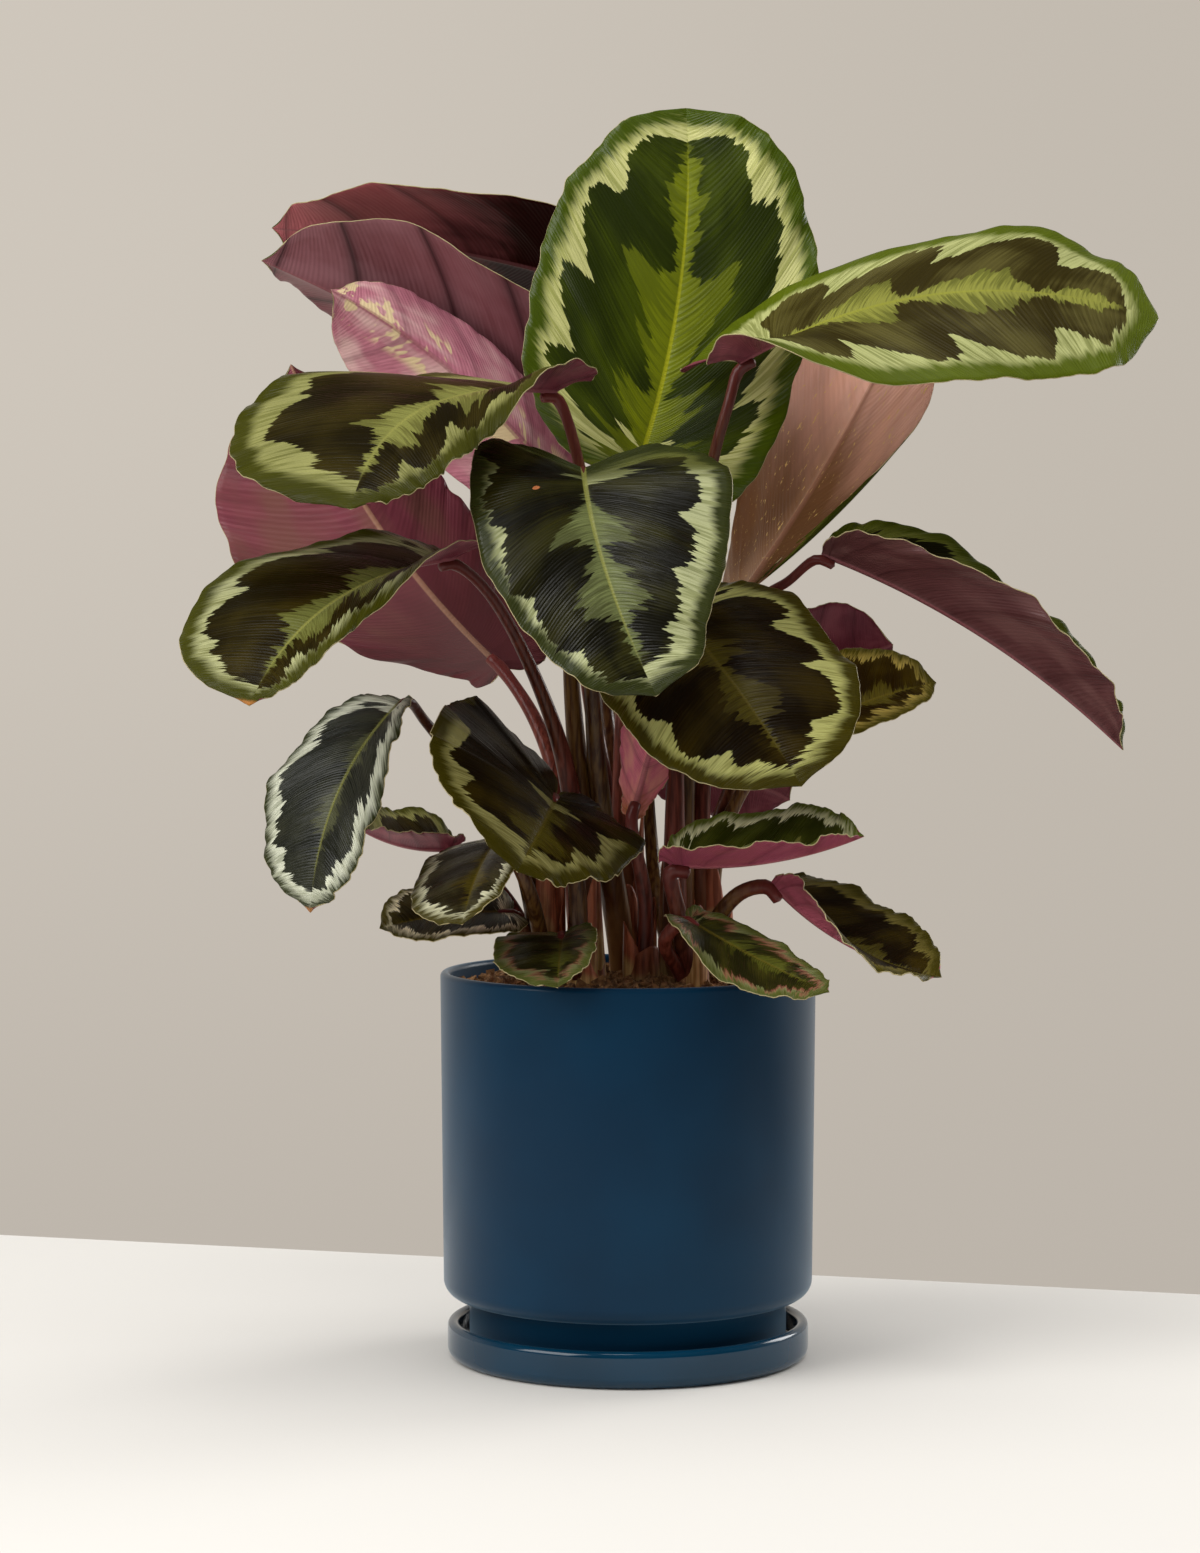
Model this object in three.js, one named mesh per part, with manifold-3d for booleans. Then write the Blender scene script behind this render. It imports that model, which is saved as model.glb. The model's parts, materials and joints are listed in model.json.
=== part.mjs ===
// Potted medallion calathea: a prayer plant in a glazed pot that stands on its saucer.
// Millimetres, +Z up. The origin is the middle of the saucer's underside, and the front is towards -Y.
import * as THREE from "three";
import { mergeVertices } from "three/addons/utils/BufferGeometryUtils.js";
import Module from "manifold-3d";

const wasm = await Module();
wasm.setup();

// Driving dimensions
const GAP = 0.3; // between pieces that rest on each other
const ROUND_SIDES = 36;

const SAUCER = { radius: 98.3, foot: 95.5, height: 20, wall: 6.5, floor: 6.5, edge: 3 };
const POT = {
  rimRadius: 102,
  lowRadius: 100.4,
  top: 210,
  drumBottom: 33.5,
  lowerEdge: 9,
  footRadius: 86.3,
  wall: 5.5,
  floor: 7,
  drain: 6,
};
const SOIL = { top: 201, lump: 1.6, rings: 3 };

const BLADE = {
  thickness: 0.8,
  camber: 0.06, // rise of each half between midrib and margin, as a share of its width
  wave: 0.035, // height of the margin's waves, as a share of the half width
  scallop: 0.018, // how far the outline goes in and out with the waves
  rows: 14, // of a large blade, from base to tip
  smallRows: 10,
  rowsPerWave: 4,
  evenRows: 0.12, // how evenly the rows leave the midrib, from 0, crowded at the base, to 1
  cols: 3, // of each half, from midrib to margin
};
const STALK = { sides: 6, stepLength: 34, rootDepth: 30, spread: 3, underBlade: 9 };

// The shoots: where each one comes out of the soil, as x and y.
const SHOOTS = {
  west: [-43, -22],
  west_inner: [-21, -12],
  west_front: [-25, -35],
  centre: [0, 16],
  young: [7, -17],
  east_inner: [26, -2],
  east: [47, 8],
  east_front: [33, -36],
};
// The sheath that wraps a shoot's stalks at their foot: [radius, height] of its root, and of its top.
const SHEATH = { sides: 8, root: [[0, 150], [6, 153], [10, 168], [10, 206]], top: [[7.5, 222], [0, 228]] };

// Each leaf: base and tip of the midrib, the way its upper side faces, then pairs for the left and right half
// seen from above with the tip ahead: half width, fold up from flat at the base and at the tip in degrees,
// lobe behind the base, and place of the widest station. bow bends the midrib to the left, arch upwards.
// point is the length of the drawn-out tip, as a share of the blade. sinus below 1 squares the lobes off.
// point is the length of the drawn-out tip, as a share of the blade. sinus below 1 squares the lobes off.
// The stalk has its shoot, its radius at the foot and at the blade, and the points it passes above the soil.
const LEAVES = {
  crown: {
    base: [4, 35, 479], tip: [33, 78, 687], face: [0.05, -1, 0.1], bow: -10, arch: 8, point: 0.006,
    half: [81, 75], foldBase: [5, 5], foldTip: [5, 5], lobe: [0.05, 0.12], full: 0.8,
    shoot: "centre", stalk: [5.5, 3], path: [[-3, 18, 302], [-1, 24, 389]],
  },
  east_high: {
    base: [60, -15, 538], tip: [281, -35, 560], face: [0, -0.5, 0.87], bow: 4, arch: 26,
    half: [64, 68], foldBase: [0, 38], foldTip: [4, -18], lobe: [0.24, 0.1], widest: [0.72, 0.52],
    full: 0.5, hood: 0.22, shoot: "east_inner", stalk: [5.5, 3],
    path: [[29, -4, 276], [33, -5, 357], [39, -5, 433], [45, -10, 483], [54, -14, 517]],
  },
  east_back: {
    base: [55, 20, 405], tip: [165, 70, 588], face: [0.5, 0.8, 0.1], arch: 12,
    half: [24, 64], foldBase: [30, 36], foldTip: [5, 0], lobe: [0.02, 0.02], widest: [1.35, 0.8],
    full: 1.15, hood: 0.6, shoot: "east_inner", stalk: [5, 2.8],
    path: [[28, 8, 275], [37, 12, 346]],
  },
  west_top: {
    base: [-15, 120, 591], tip: [-203, 120, 625], face: [0, 0.3, 0.95], arch: 6,
    half: [54, 60], foldBase: [22, -14], foldTip: [4, -14], widest: [0.46, 0.5], full: 0.8, hood: 0.8,
    shoot: "centre", stalk: [5, 2.8], path: [[-4, 55, 300], [-6, 95, 412]],
  },
  west_second: {
    base: [-29, 87, 499], tip: [-205, 77, 602], face: [0.45, 0.5, 0.75], arch: 8,
    half: [70, 60], foldBase: [20, 20], foldTip: [20, 20],
    shoot: "centre", stalk: [5, 2.8], path: [[-7, 45, 301], [-18, 70, 401]],
  },
  west_pink: {
    base: [-37, 47, 473], tip: [-163, 36, 582], face: [0.3, 0.9, 0.2], bow: 8, arch: 6,
    half: [33, 50], foldBase: [58, 10], foldTip: [58, 10],
    shoot: "centre", stalk: [5, 2.8], path: [[-12, 25, 302], [-26, 40, 389]],
  },
  west_broad: {
    base: [-39, -20, 522], tip: [-139, -160, 455], face: [0, -0.5, 0.87], bow: -24, arch: 15,
    half: [42, 86], foldBase: [47, -14], foldTip: [-10, -4], lobe: [0.13, 0.06], widest: [0.52, 0.6],
    full: 0.72, hood: 0.3, shoot: "west_inner", stalk: [5.5, 3],
    path: [[-26, -10, 303], [-31, -12, 390], [-24, -16, 454], [-26, -20, 481]],
  },
  centre_front: {
    base: [-24, -60, 480], tip: [13, -150, 362], face: [0.1, -0.75, 0.65], bow: -8, arch: 8,
    half: [67, 61], foldBase: [4, 4], foldTip: [4, 4], lobe: [0.22, 0.2], full: 0.74, widest: [0.2, 0.36],
    shoot: "centre", stalk: [5.5, 3], path: [[-15, -10, 303], [-21, -30, 390]],
  },
  centre_right: {
    base: [21, -30, 407], tip: [88, -110, 315], face: [0.1, -0.8, 0.6], arch: 8,
    half: [64, 68], foldBase: [0, 4], foldTip: [0, 4], full: 0.8,
    shoot: "east_inner", stalk: [5, 2.8], path: [[25, -16, 276], [25, -18, 357]],
  },
  west_low: {
    base: [-92, -70, 432], tip: [-187, -190, 358], face: [0, -0.55, 0.83], bow: -15, arch: 10,
    half: [25, 60], foldBase: [52, 0], foldTip: [2, 0], lobe: [0.15, 0.03], widest: [0.5, 0.62],
    full: 0.74, hood: 0.3, shoot: "west_inner", stalk: [5, 2.8],
    path: [[-31, -25, 309], [-47, -32, 363], [-73, -52, 413]],
  },
  west_hanging: {
    base: [-119, -60, 358], tip: [-165, -95, 249], face: [-0.6, -0.7, 0.25], arch: 16,
    half: [32, 44], foldBase: [25, 6], foldTip: [0, 6], lobe: [0.02, 0.05], widest: [0.6, 0.54],
    shoot: "west", stalk: [4, 2.3], path: [[-58, -24, 272], [-89, -20, 320], [-108, -36, 346]],
  },
  low_front: {
    base: [-38, -70, 308], tip: [-57, -140, 273], face: [0.55, -0.4, 0.73], arch: 4,
    half: [48, 74], foldBase: [4, 4], foldTip: [4, 4], lobe: [0.34, 0.7], full: 0.95,
    widest: [0.45, 0.42], sinus: 0.35,
    shoot: "west_front", stalk: [4, 2.5], path: [[-28, -45, 262]],
  },
  low_small: {
    base: [-68, -62, 286], tip: [-85, -135, 246], face: [-0.35, -0.5, 0.8], arch: 5,
    half: [26, 37], foldBase: [10, 0], foldTip: [10, 0], small: true,
    shoot: "west", stalk: [3.5, 2], path: [[-53, -52, 258]],
  },
  low_edge: {
    base: [-93, -16, 277], tip: [-142, -36, 288], face: [0, 0, 1], arch: -4,
    half: [24, 38], foldBase: [30, 36], foldTip: [20, 32], small: true,
    shoot: "west", stalk: [3.2, 1.8], path: [[-65, 0, 248]],
  },
  low_west: {
    base: [-62, -30, 244], tip: [-132, -50, 237], face: [0, -0.4, 0.92], arch: 3,
    half: [32, 32], small: true,
    shoot: "west", stalk: [3.2, 1.8], path: [[-53, -25, 229]],
  },
  rim_west: {
    base: [-35, -62, 235], tip: [-37, -116, 212], face: [0, -0.46, 0.88], arch: 3,
    half: [21, 35], foldBase: [25, 0], foldTip: [25, 0], small: true,
    shoot: "west_front", stalk: [3.2, 1.8], path: [[-32, -54, 223]],
  },
  low_east: {
    base: [23, -60, 271], tip: [122, -85, 288], face: [0, -0.2, 0.98], arch: -6,
    half: [38, 32], foldBase: [34, 32], foldTip: [34, 32], widest: [0.5, 0.16],
    shoot: "east_front", stalk: [4, 2.3], path: [[27, -50, 241]],
  },
  droop_east: {
    base: [76, -40, 260], tip: [163, -80, 214], face: [0.45, -0.15, 0.86], arch: -9,
    half: [41, 34], foldBase: [32, 44], foldTip: [34, -10], lobe: [0.02, 0.02], hood: 0.6,
    shoot: "east", stalk: [4, 2.3], path: [[46, -28, 237], [60, -36, 255]],
  },
  rim_east: {
    base: [30, -62, 243], tip: [102, -118, 210], face: [0.1, -0.55, 0.83], arch: -2,
    half: [17, 28], foldBase: [5, 30], foldTip: [5, 0], widest: [0.4, 0.5], small: true,
    shoot: "east_front", stalk: [3.2, 2], path: [[19, -55, 231]],
  },
  shade: {
    base: [15, 48, 331], tip: [92, 78, 299], face: [0.2, 0.85, 0.4], arch: 4, half: [35, 35], small: true,
    shoot: "east_inner", stalk: [3.5, 2], path: [[14, 34, 268]],
  },
  unfurling: {
    base: [2, -32, 295], tip: [20, -32, 363], face: [0.1, 1, 0.1], arch: 4,
    half: [20, 20], foldBase: [35, 35], foldTip: [35, 35], lobe: [0.02, 0.02], small: true,
    shoot: "young", stalk: [3.5, 2], path: [[9, -24, 249]],
  },
  droop_high: {
    base: [104, -20, 435], tip: [260, -60, 332], face: [0.55, 0.1, 0.83], arch: 10,
    half: [48, 40], foldBase: [47, 30], foldTip: [44, 40], lobe: [0.03, 0.03], hood: 0.4,
    shoot: "east", stalk: [5, 2.5],
    path: [[39, 5, 275], [47, 8, 357], [72, 2, 411], [86, -8, 421]],
  },
  east_small: {
    base: [94, 15, 338], tip: [169, 20, 366], face: [-0.3, -0.7, 0.5], arch: 6,
    half: [35, 20], foldBase: [6, 10], foldTip: [6, 10], small: true,
    shoot: "east", stalk: [4, 2], path: [[48, 15, 269], [67, 18, 313]],
  },
  east_purple: {
    base: [79, 50, 356], tip: [148, 55, 387], face: [0.2, 0.9, 0.3], arch: 4, half: [38, 38], small: true,
    shoot: "east", stalk: [4, 2], path: [[46, 20, 274], [61, 32, 319]],
  },
  west_magenta: {
    base: [-70, 45, 374], tip: [-190, 90, 545], face: [0.1, 1, 0.05], bow: -12, arch: 4,
    half: [60, 76], foldBase: [48, 55], foldTip: [48, 2], lobe: [0.12, 0], widest: [0.5, 0.75],
    full: 0.95, hood: 0.35, shoot: "west_inner", stalk: [5.5, 3],
    path: [[-37, 10, 308], [-51, 25, 346]],
  },
};
// What a leaf has where its own entry doesn't say.
const USUAL = {
  bow: 0, foldBase: [6, 6], foldTip: [6, 6], lobe: [0.12, 0.12], widest: [0.5, 0.5], full: 0.85, hood: 0.32,
  point: 0.03, sinus: 1,
};
const SEEN_FROM_BELOW = [
  "east_back", "west_top", "west_second", "west_pink", "west_magenta",
  "shade", "unfurling", "droop_high", "east_purple",
];

const COLOURS = {
  glaze: [0x17324d, 0.5], saucerGlaze: [0x1a3b52, 0.4], soil: [0x3a2a20, 1], stalk: [0x4d2a26, 0.55],
  leafGreen: [0x4a6328, 0.45], leafPurple: [0x6b2f48, 0.5],
};

const part = new THREE.Group();

function addPiece(name, solid, [color, roughness]) {
  const { vertProperties, triVerts } = solid.getMesh();
  const geometry = new THREE.BufferGeometry();
  geometry.setAttribute("position", new THREE.BufferAttribute(new Float32Array(vertProperties), 3));
  geometry.setIndex(new THREE.BufferAttribute(new Uint32Array(triVerts), 1));
  geometry.computeVertexNormals();
  const material = new THREE.MeshStandardMaterial({ color, roughness, metalness: 0 });
  const mesh = new THREE.Mesh(geometry, material);
  mesh.name = name;
  part.add(mesh);
}

// A closed geometry as a solid that can be joined and cut.
function solidOf(geometry) {
  geometry.deleteAttribute("normal");
  geometry.deleteAttribute("uv");
  const merged = mergeVertices(geometry, 1e-4);
  const mesh = new wasm.Mesh({
    numProp: 3,
    vertProperties: new Float32Array(merged.attributes.position.array),
    triVerts: new Uint32Array(merged.index.array),
  });
  return new wasm.Manifold(mesh);
}

function solidFrom(points, triangles) {
  const vertProperties = new Float32Array(points.flatMap((p) => [p.x, p.y, p.z]));
  const triVerts = new Uint32Array(triangles);
  return new wasm.Manifold(new wasm.Mesh({ numProp: 3, vertProperties, triVerts }));
}

function join(solids) {
  return solids.reduce((whole, next) => whole.add(next));
}

function largestBody(solid) {
  return solid.decompose().reduce((a, b) => (a.volume() > b.volume() ? a : b));
}

// The round of an edge about [x, z], from angle a to angle b in degrees.
function arc(x, z, radius, a, b, steps) {
  return Array.from({ length: steps + 1 }, (_, i) => {
    const t = THREE.MathUtils.degToRad(a + ((b - a) * i) / steps);
    return [x + radius * Math.cos(t), z + radius * Math.sin(t)];
  });
}

// Turns a profile of [radius, height] about the upright axis.
function turned(profile, sides = ROUND_SIDES) {
  const points = profile.map(([r, z]) => new THREE.Vector2(r, z));
  const lathe = new THREE.LatheGeometry(points, sides);
  return lathe.rotateX(Math.PI / 2);
}

function saucerProfile() {
  const { radius, foot, height, wall, floor, edge } = SAUCER;
  const lip = wall / 2;
  return [
    [0, 0],
    [foot, 0],
    ...arc(radius - edge, edge, edge, -60, 0, 2),
    ...arc(radius - lip, height - lip, lip, 0, 180, 4),
    ...arc(radius - wall - edge, floor + edge, edge, 0, -90, 2),
    [0, floor],
  ];
}

const footBottom = SAUCER.floor + GAP;
const potFloor = footBottom + POT.floor;
const innerFoot = POT.footRadius - POT.wall;
const innerTop = POT.rimRadius - POT.wall;
const innerLow = POT.lowRadius - POT.wall;
const innerShelf = POT.drumBottom + POT.floor;
const footChamfer = 1.5;

function potProfile() {
  const lip = POT.wall / 2;
  return [
    [POT.drain, footBottom],
    [POT.footRadius - footChamfer, footBottom],
    [POT.footRadius, footBottom + footChamfer],
    [POT.footRadius, POT.drumBottom],
    ...arc(POT.lowRadius - POT.lowerEdge, POT.drumBottom + POT.lowerEdge, POT.lowerEdge, -90, 0, 3),
    ...arc(POT.rimRadius - lip, POT.top - lip, lip, 0, 180, 4),
    [innerLow, innerShelf + POT.lowerEdge],
    [innerLow - POT.lowerEdge, innerShelf],
    [innerFoot, innerShelf],
    [innerFoot, potFloor],
    [POT.drain, potFloor],
    [POT.drain, footBottom],
  ];
}

// Height of the soil's lumps at x and y: wide ones, and small ones on them.
function lumpAt(x, y) {
  const wide = Math.sin(x * 0.21 + 1) * Math.sin(y * 0.17);
  const small = Math.sin(x * 0.47) * Math.cos(y * 0.41);
  return SOIL.lump * (0.7 * wide + 0.4 * small);
}

// The soil follows the pot's inside a gap away. Its lumps calm down towards the wall.
function soilSolid() {
  const wallShare = (SOIL.top - innerShelf) / (POT.top - innerShelf);
  const outer = THREE.MathUtils.lerp(innerLow, innerTop, wallShare) - 2 * GAP;
  const surface = Array.from({ length: SOIL.rings }, (_, i) => [outer * (1 - i / SOIL.rings), SOIL.top]);
  const body = [
    [0, potFloor + GAP],
    [innerFoot - GAP, potFloor + GAP],
    [innerFoot - GAP, innerShelf + GAP],
    [innerLow - POT.lowerEdge - GAP, innerShelf + GAP],
    [innerLow - GAP, innerShelf + POT.lowerEdge + GAP],
    ...surface,
    [0, SOIL.top],
  ];
  const lathe = turned(body);
  const place = lathe.attributes.position;
  for (let i = 0; i < place.count; i++) {
    const [x, y, z] = [place.getX(i), place.getY(i), place.getZ(i)];
    const calm = 1 - (Math.hypot(x, y) / outer) ** 8;
    if (z === SOIL.top) place.setZ(i, z + calm * lumpAt(x, y));
  }
  return solidOf(lathe);
}

function rowsOf(leaf) {
  return leaf.small ? BLADE.smallRows : BLADE.rows;
}

// A leaf's own frame: chord from base to tip, upper side, left side, and the midrib's middle control point.
function frameOf(leaf) {
  const base = new THREE.Vector3(...leaf.base);
  const tip = new THREE.Vector3(...leaf.tip);
  const chord = tip.clone().sub(base).normalize();
  const face = new THREE.Vector3(...leaf.face);
  face.addScaledVector(chord, -face.dot(chord)).normalize();
  const left = face.clone().cross(chord);
  const control = base.clone().add(tip).multiplyScalar(0.5);
  control.addScaledVector(left, 2 * leaf.bow).addScaledVector(face, 2 * leaf.arch);
  return { base, tip, chord, face, left, control };
}

// The upper side's direction, square to a stretch of the midrib.
function acrossMidrib(frame, from, to) {
  const ahead = to.clone().sub(from).normalize();
  return frame.face.clone().addScaledVector(ahead, -frame.face.dot(ahead));
}

// The point at tau (round the margin from base to tip) and s (midrib 0, margin 1) of one half of a blade.
// The row of a point leaves the midrib early and reaches the margin later, as the side veins do.
function bladePoint(leaf, frame, tau, s, half) {
  const side = half === 0 ? 1 : -1;
  const width = leaf.half[half];
  const phase = half === 0 ? 0 : 0.37;
  const waves = rowsOf(leaf) / BLADE.rowsPerWave;
  const ripple = Math.sin(2 * Math.PI * (waves * tau + phase));
  const around = Math.max(Math.sin(Math.PI * tau), 0);
  const along = (1 - Math.cos(Math.PI * tau)) / 2;
  const lobe = tau < 0.5 ? leaf.lobe[half] * Math.sin(2 * Math.PI * tau) ** leaf.sinus : 0;
  const marginAt = (1 - leaf.point) * along + leaf.point * tau ** 60 - lobe;
  const skew = 1 + 3.2 * (leaf.widest[half] - 0.5) * (along - 0.5) * (1 - (2 * along - 1) ** 4);
  const reach = around ** leaf.full * skew * (1 + BLADE.scallop * ripple);
  const ribAt = THREE.MathUtils.lerp(along ** 2.2, tau, BLADE.evenRows);
  const y = ribAt + (marginAt - ribAt) * s ** 1.35;

  const { base, tip, control, chord, left } = frame;
  const spine = base.clone().multiplyScalar((1 - y) ** 2);
  spine.addScaledVector(control, 2 * y * (1 - y)).addScaledVector(tip, y * y);
  const ahead = control.clone().sub(base).multiplyScalar(1 - y);
  ahead.addScaledVector(tip.clone().sub(control), y).normalize();

  const outward = left.clone().multiplyScalar(side);
  const turn = ahead.dot(outward) / (1 + ahead.dot(chord));
  outward.addScaledVector(ahead, -turn).addScaledVector(chord, -turn);
  const up = ahead.clone().cross(outward).multiplyScalar(side);

  const hooded = Math.exp(-((Math.max(y, 0) / leaf.hood) ** 2));
  const degrees = THREE.MathUtils.lerp(leaf.foldTip[half], leaf.foldBase[half], hooded);
  const fold = THREE.MathUtils.degToRad(degrees);
  const out = outward.clone().multiplyScalar(Math.cos(fold)).addScaledVector(up, Math.sin(fold));
  const normal = up.clone().multiplyScalar(Math.cos(fold)).addScaledVector(outward, -Math.sin(fold));
  const camber = BLADE.camber * width * 2 * reach * s * (1 - s);
  const wave = BLADE.wave * width * s * s * Math.sqrt(around) * ripple;
  return spine.addScaledVector(out, reach * s * width).addScaledVector(normal, camber + wave);
}

// A thin closed blade: the same grid above and below the middle surface, split alike, with a wall round it.
// grow makes it larger all round, for cutting clearance.
function bladeSolid(leaf, frame, grow = 0) {
  const rows = rowsOf(leaf);
  const { cols } = BLADE;
  const across = 2 * cols;
  const at = (i, j) => {
    if (i === 0) return 0;
    if (i === rows) return 1;
    return 2 + (i - 1) * (across + 1) + j;
  };
  const middle = [];
  middle[0] = bladePoint(leaf, frame, 0, 0, 0);
  middle[1] = bladePoint(leaf, frame, 1, 0, 0);
  for (let i = 1; i < rows; i++)
    for (let j = 0; j <= across; j++)
      middle[at(i, j)] = bladePoint(leaf, frame, i / rows, Math.abs(1 - j / cols), j <= cols ? 0 : 1);

  const faces = [];
  for (let i = 0; i < rows; i++)
    for (let j = 0; j < across; j++) {
      if (i > 0) faces.push([at(i, j), at(i, j + 1), at(i + 1, j + 1)]);
      if (i < rows - 1) faces.push([at(i, j), at(i + 1, j + 1), at(i + 1, j)]);
    }
  const edge = [0];
  for (let i = 1; i < rows; i++) edge.push(at(i, across));
  edge.push(1);
  for (let i = rows - 1; i > 0; i--) edge.push(at(i, 0));

  // The slivers at the base and tip have no steady direction, so the two ends take theirs from the midrib.
  const normals = middle.map(() => new THREE.Vector3());
  for (const [a, b, c] of faces) {
    if (Math.min(a, b, c) < 2) continue;
    const n = middle[b].clone().sub(middle[a]).cross(middle[c].clone().sub(middle[a]));
    for (const k of [a, b, c]) normals[k].add(n);
  }
  normals[0].copy(acrossMidrib(frame, frame.base, frame.control));
  normals[1].copy(acrossMidrib(frame, frame.control, frame.tip));
  normals.forEach((n) => n.normalize());
  if (grow > 0) {
    const inner = (k) => {
      if (k === 0) return at(2, cols);
      if (k === 1) return at(rows - 1, cols);
      return (k - 2) % (across + 1) === 0 ? k + 1 : k - 1;
    };
    const spread = edge.map((k) => middle[k].clone().sub(middle[inner(k)]).setLength(grow));
    edge.forEach((k, i) => middle[k].add(spread[i]));
  }
  const lift = BLADE.thickness / 2 + grow;
  const upper = middle.map((p, i) => p.clone().addScaledVector(normals[i], lift));
  const lower = middle.map((p, i) => p.clone().addScaledVector(normals[i], -lift));
  const count = middle.length;
  const triangles = [];
  for (const [a, b, c] of faces) triangles.push(a, b, c, count + a, count + c, count + b);
  edge.forEach((a, i) => {
    const b = edge[(i + 1) % edge.length];
    triangles.push(b, a, count + a, b, count + a, count + b);
  });
  return solidFrom([...upper, ...lower], triangles);
}

// A closed tapering tube along a smooth curve through the points.
function tubeSolid(points, footRadius, endRadius) {
  const { sides } = STALK;
  const curve = new THREE.CatmullRomCurve3(points, false, "centripetal");
  const steps = 2 + Math.round(curve.getLength() / STALK.stepLength);
  const { normals, binormals } = curve.computeFrenetFrames(steps, false);
  const verts = [];
  for (let i = 0; i <= steps; i++) {
    const centre = curve.getPointAt(i / steps);
    const radius = endRadius + (footRadius - endRadius) * (1 - i / steps) ** 1.4;
    for (let k = 0; k < sides; k++) {
      const angle = (2 * Math.PI * k) / sides;
      const p = centre.clone().addScaledVector(normals[i], radius * Math.cos(angle));
      verts.push(p.addScaledVector(binormals[i], radius * Math.sin(angle)));
    }
  }
  const triangles = [];
  for (let i = 0; i < steps; i++)
    for (let k = 0; k < sides; k++) {
      const a = i * sides + k;
      const b = i * sides + ((k + 1) % sides);
      triangles.push(a, b, b + sides, a, b + sides, a + sides);
    }
  const last = steps * sides;
  for (let k = 1; k < sides - 1; k++) {
    triangles.push(0, k + 1, k);
    triangles.push(last, last + k, last + k + 1);
  }
  return solidFrom(verts, triangles);
}

// A stalk's route: up inside its shoot's sheath, through its points, to a short run under the midrib.
function stalkRoute(leaf, frame) {
  const passed = leaf.path.map((p) => new THREE.Vector3(...p));
  const foot = new THREE.Vector3(...SHOOTS[leaf.shoot], 0);
  const lean = passed[0].clone().setZ(0).sub(foot).clampLength(0, STALK.spread);
  const root = foot.clone().add(lean).setZ(SOIL.top - STALK.rootDepth);
  const collar = root.clone().setZ(SOIL.top + STALK.spread);
  const ahead = frame.control.clone().sub(frame.base).normalize();
  const under = leaf.stalk[1] + BLADE.thickness / 2 + GAP;
  const neck = frame.base.clone().addScaledVector(frame.face, -under).addScaledVector(ahead, -1);
  const end = neck.clone().addScaledVector(ahead, STALK.underBlade);
  return [root, collar, ...passed, neck, end];
}

function sheathSolid([x, y]) {
  return solidOf(turned([...SHEATH.root, ...SHEATH.top], SHEATH.sides).translate(x, y, 0));
}

// The plain hole for a sheath: a gap wider than its root, and open above the soil.
function holeSolid([x, y]) {
  const above = POT.top;
  const root = SHEATH.root.map(([r, z]) => [r > 0 ? r + GAP : 0, z - GAP]);
  const width = root.at(-1)[0];
  return solidOf(turned([...root, [width, above], [0, above]], SHEATH.sides).translate(x, y, 0));
}

addPiece("saucer", solidOf(turned(saucerProfile())), COLOURS.saucerGlaze);
addPiece("pot", solidOf(turned(potProfile())), COLOURS.glaze);

const shoots = {};
for (const [name, foot] of Object.entries(SHOOTS)) shoots[name] = [sheathSolid(foot)];
const clearBlades = [];
for (const [name, given] of Object.entries(LEAVES)) {
  const leaf = { ...USUAL, ...given };
  const frame = frameOf(leaf);
  const colour = SEEN_FROM_BELOW.includes(name) ? COLOURS.leafPurple : COLOURS.leafGreen;
  addPiece("blade_" + name, bladeSolid(leaf, frame), colour);
  clearBlades.push(bladeSolid(leaf, frame, GAP));
  const route = stalkRoute(leaf, frame);
  const [foot, end] = leaf.stalk;
  shoots[leaf.shoot].push(tubeSolid(route, foot, end));
}
// A stalk ends a gap below its own blade, and a blade that leans on a stalk keeps a gap to it.
for (const [name, stalks] of Object.entries(shoots)) {
  const cut = clearBlades.reduce((whole, blade) => whole.subtract(blade), join(stalks));
  addPiece("stalks_" + name, largestBody(cut), COLOURS.stalk);
}
const holes = Object.values(SHOOTS).map(holeSolid);
addPiece("soil", soilSolid().subtract(join(holes)), COLOURS.soil);

export default part;
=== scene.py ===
# %% [markdown]
# # A potted medallion calathea
#
# The plant is a prayer plant with round patterned leaves. It stands in a glazed drum pot on a saucer.
# Its solids are already packed as a fixed frame, in metres, with +Z up and the saucer's underside at the origin.
# Each cell below replaces some of those solids by a fine surface of the same form, and gives it its finish.

# %% Load the frame
import json
import math

import bpy
import numpy as np
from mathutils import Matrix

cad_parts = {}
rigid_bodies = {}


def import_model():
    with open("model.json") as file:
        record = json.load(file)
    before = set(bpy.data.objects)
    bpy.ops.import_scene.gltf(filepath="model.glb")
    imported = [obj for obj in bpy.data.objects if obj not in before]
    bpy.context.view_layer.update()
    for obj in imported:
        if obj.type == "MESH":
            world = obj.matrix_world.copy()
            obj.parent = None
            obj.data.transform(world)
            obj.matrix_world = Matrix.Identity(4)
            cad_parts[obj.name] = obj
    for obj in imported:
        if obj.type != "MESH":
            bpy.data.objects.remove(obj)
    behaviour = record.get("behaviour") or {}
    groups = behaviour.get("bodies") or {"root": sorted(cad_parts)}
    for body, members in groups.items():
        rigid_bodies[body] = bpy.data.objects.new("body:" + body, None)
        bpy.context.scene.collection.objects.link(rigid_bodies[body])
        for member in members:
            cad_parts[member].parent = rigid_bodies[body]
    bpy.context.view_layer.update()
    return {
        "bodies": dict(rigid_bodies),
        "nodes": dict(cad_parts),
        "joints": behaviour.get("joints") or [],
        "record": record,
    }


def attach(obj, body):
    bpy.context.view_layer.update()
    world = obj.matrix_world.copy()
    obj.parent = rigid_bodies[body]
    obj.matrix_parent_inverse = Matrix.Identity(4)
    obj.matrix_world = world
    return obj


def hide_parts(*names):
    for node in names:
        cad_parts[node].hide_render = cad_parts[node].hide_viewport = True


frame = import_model()
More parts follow.
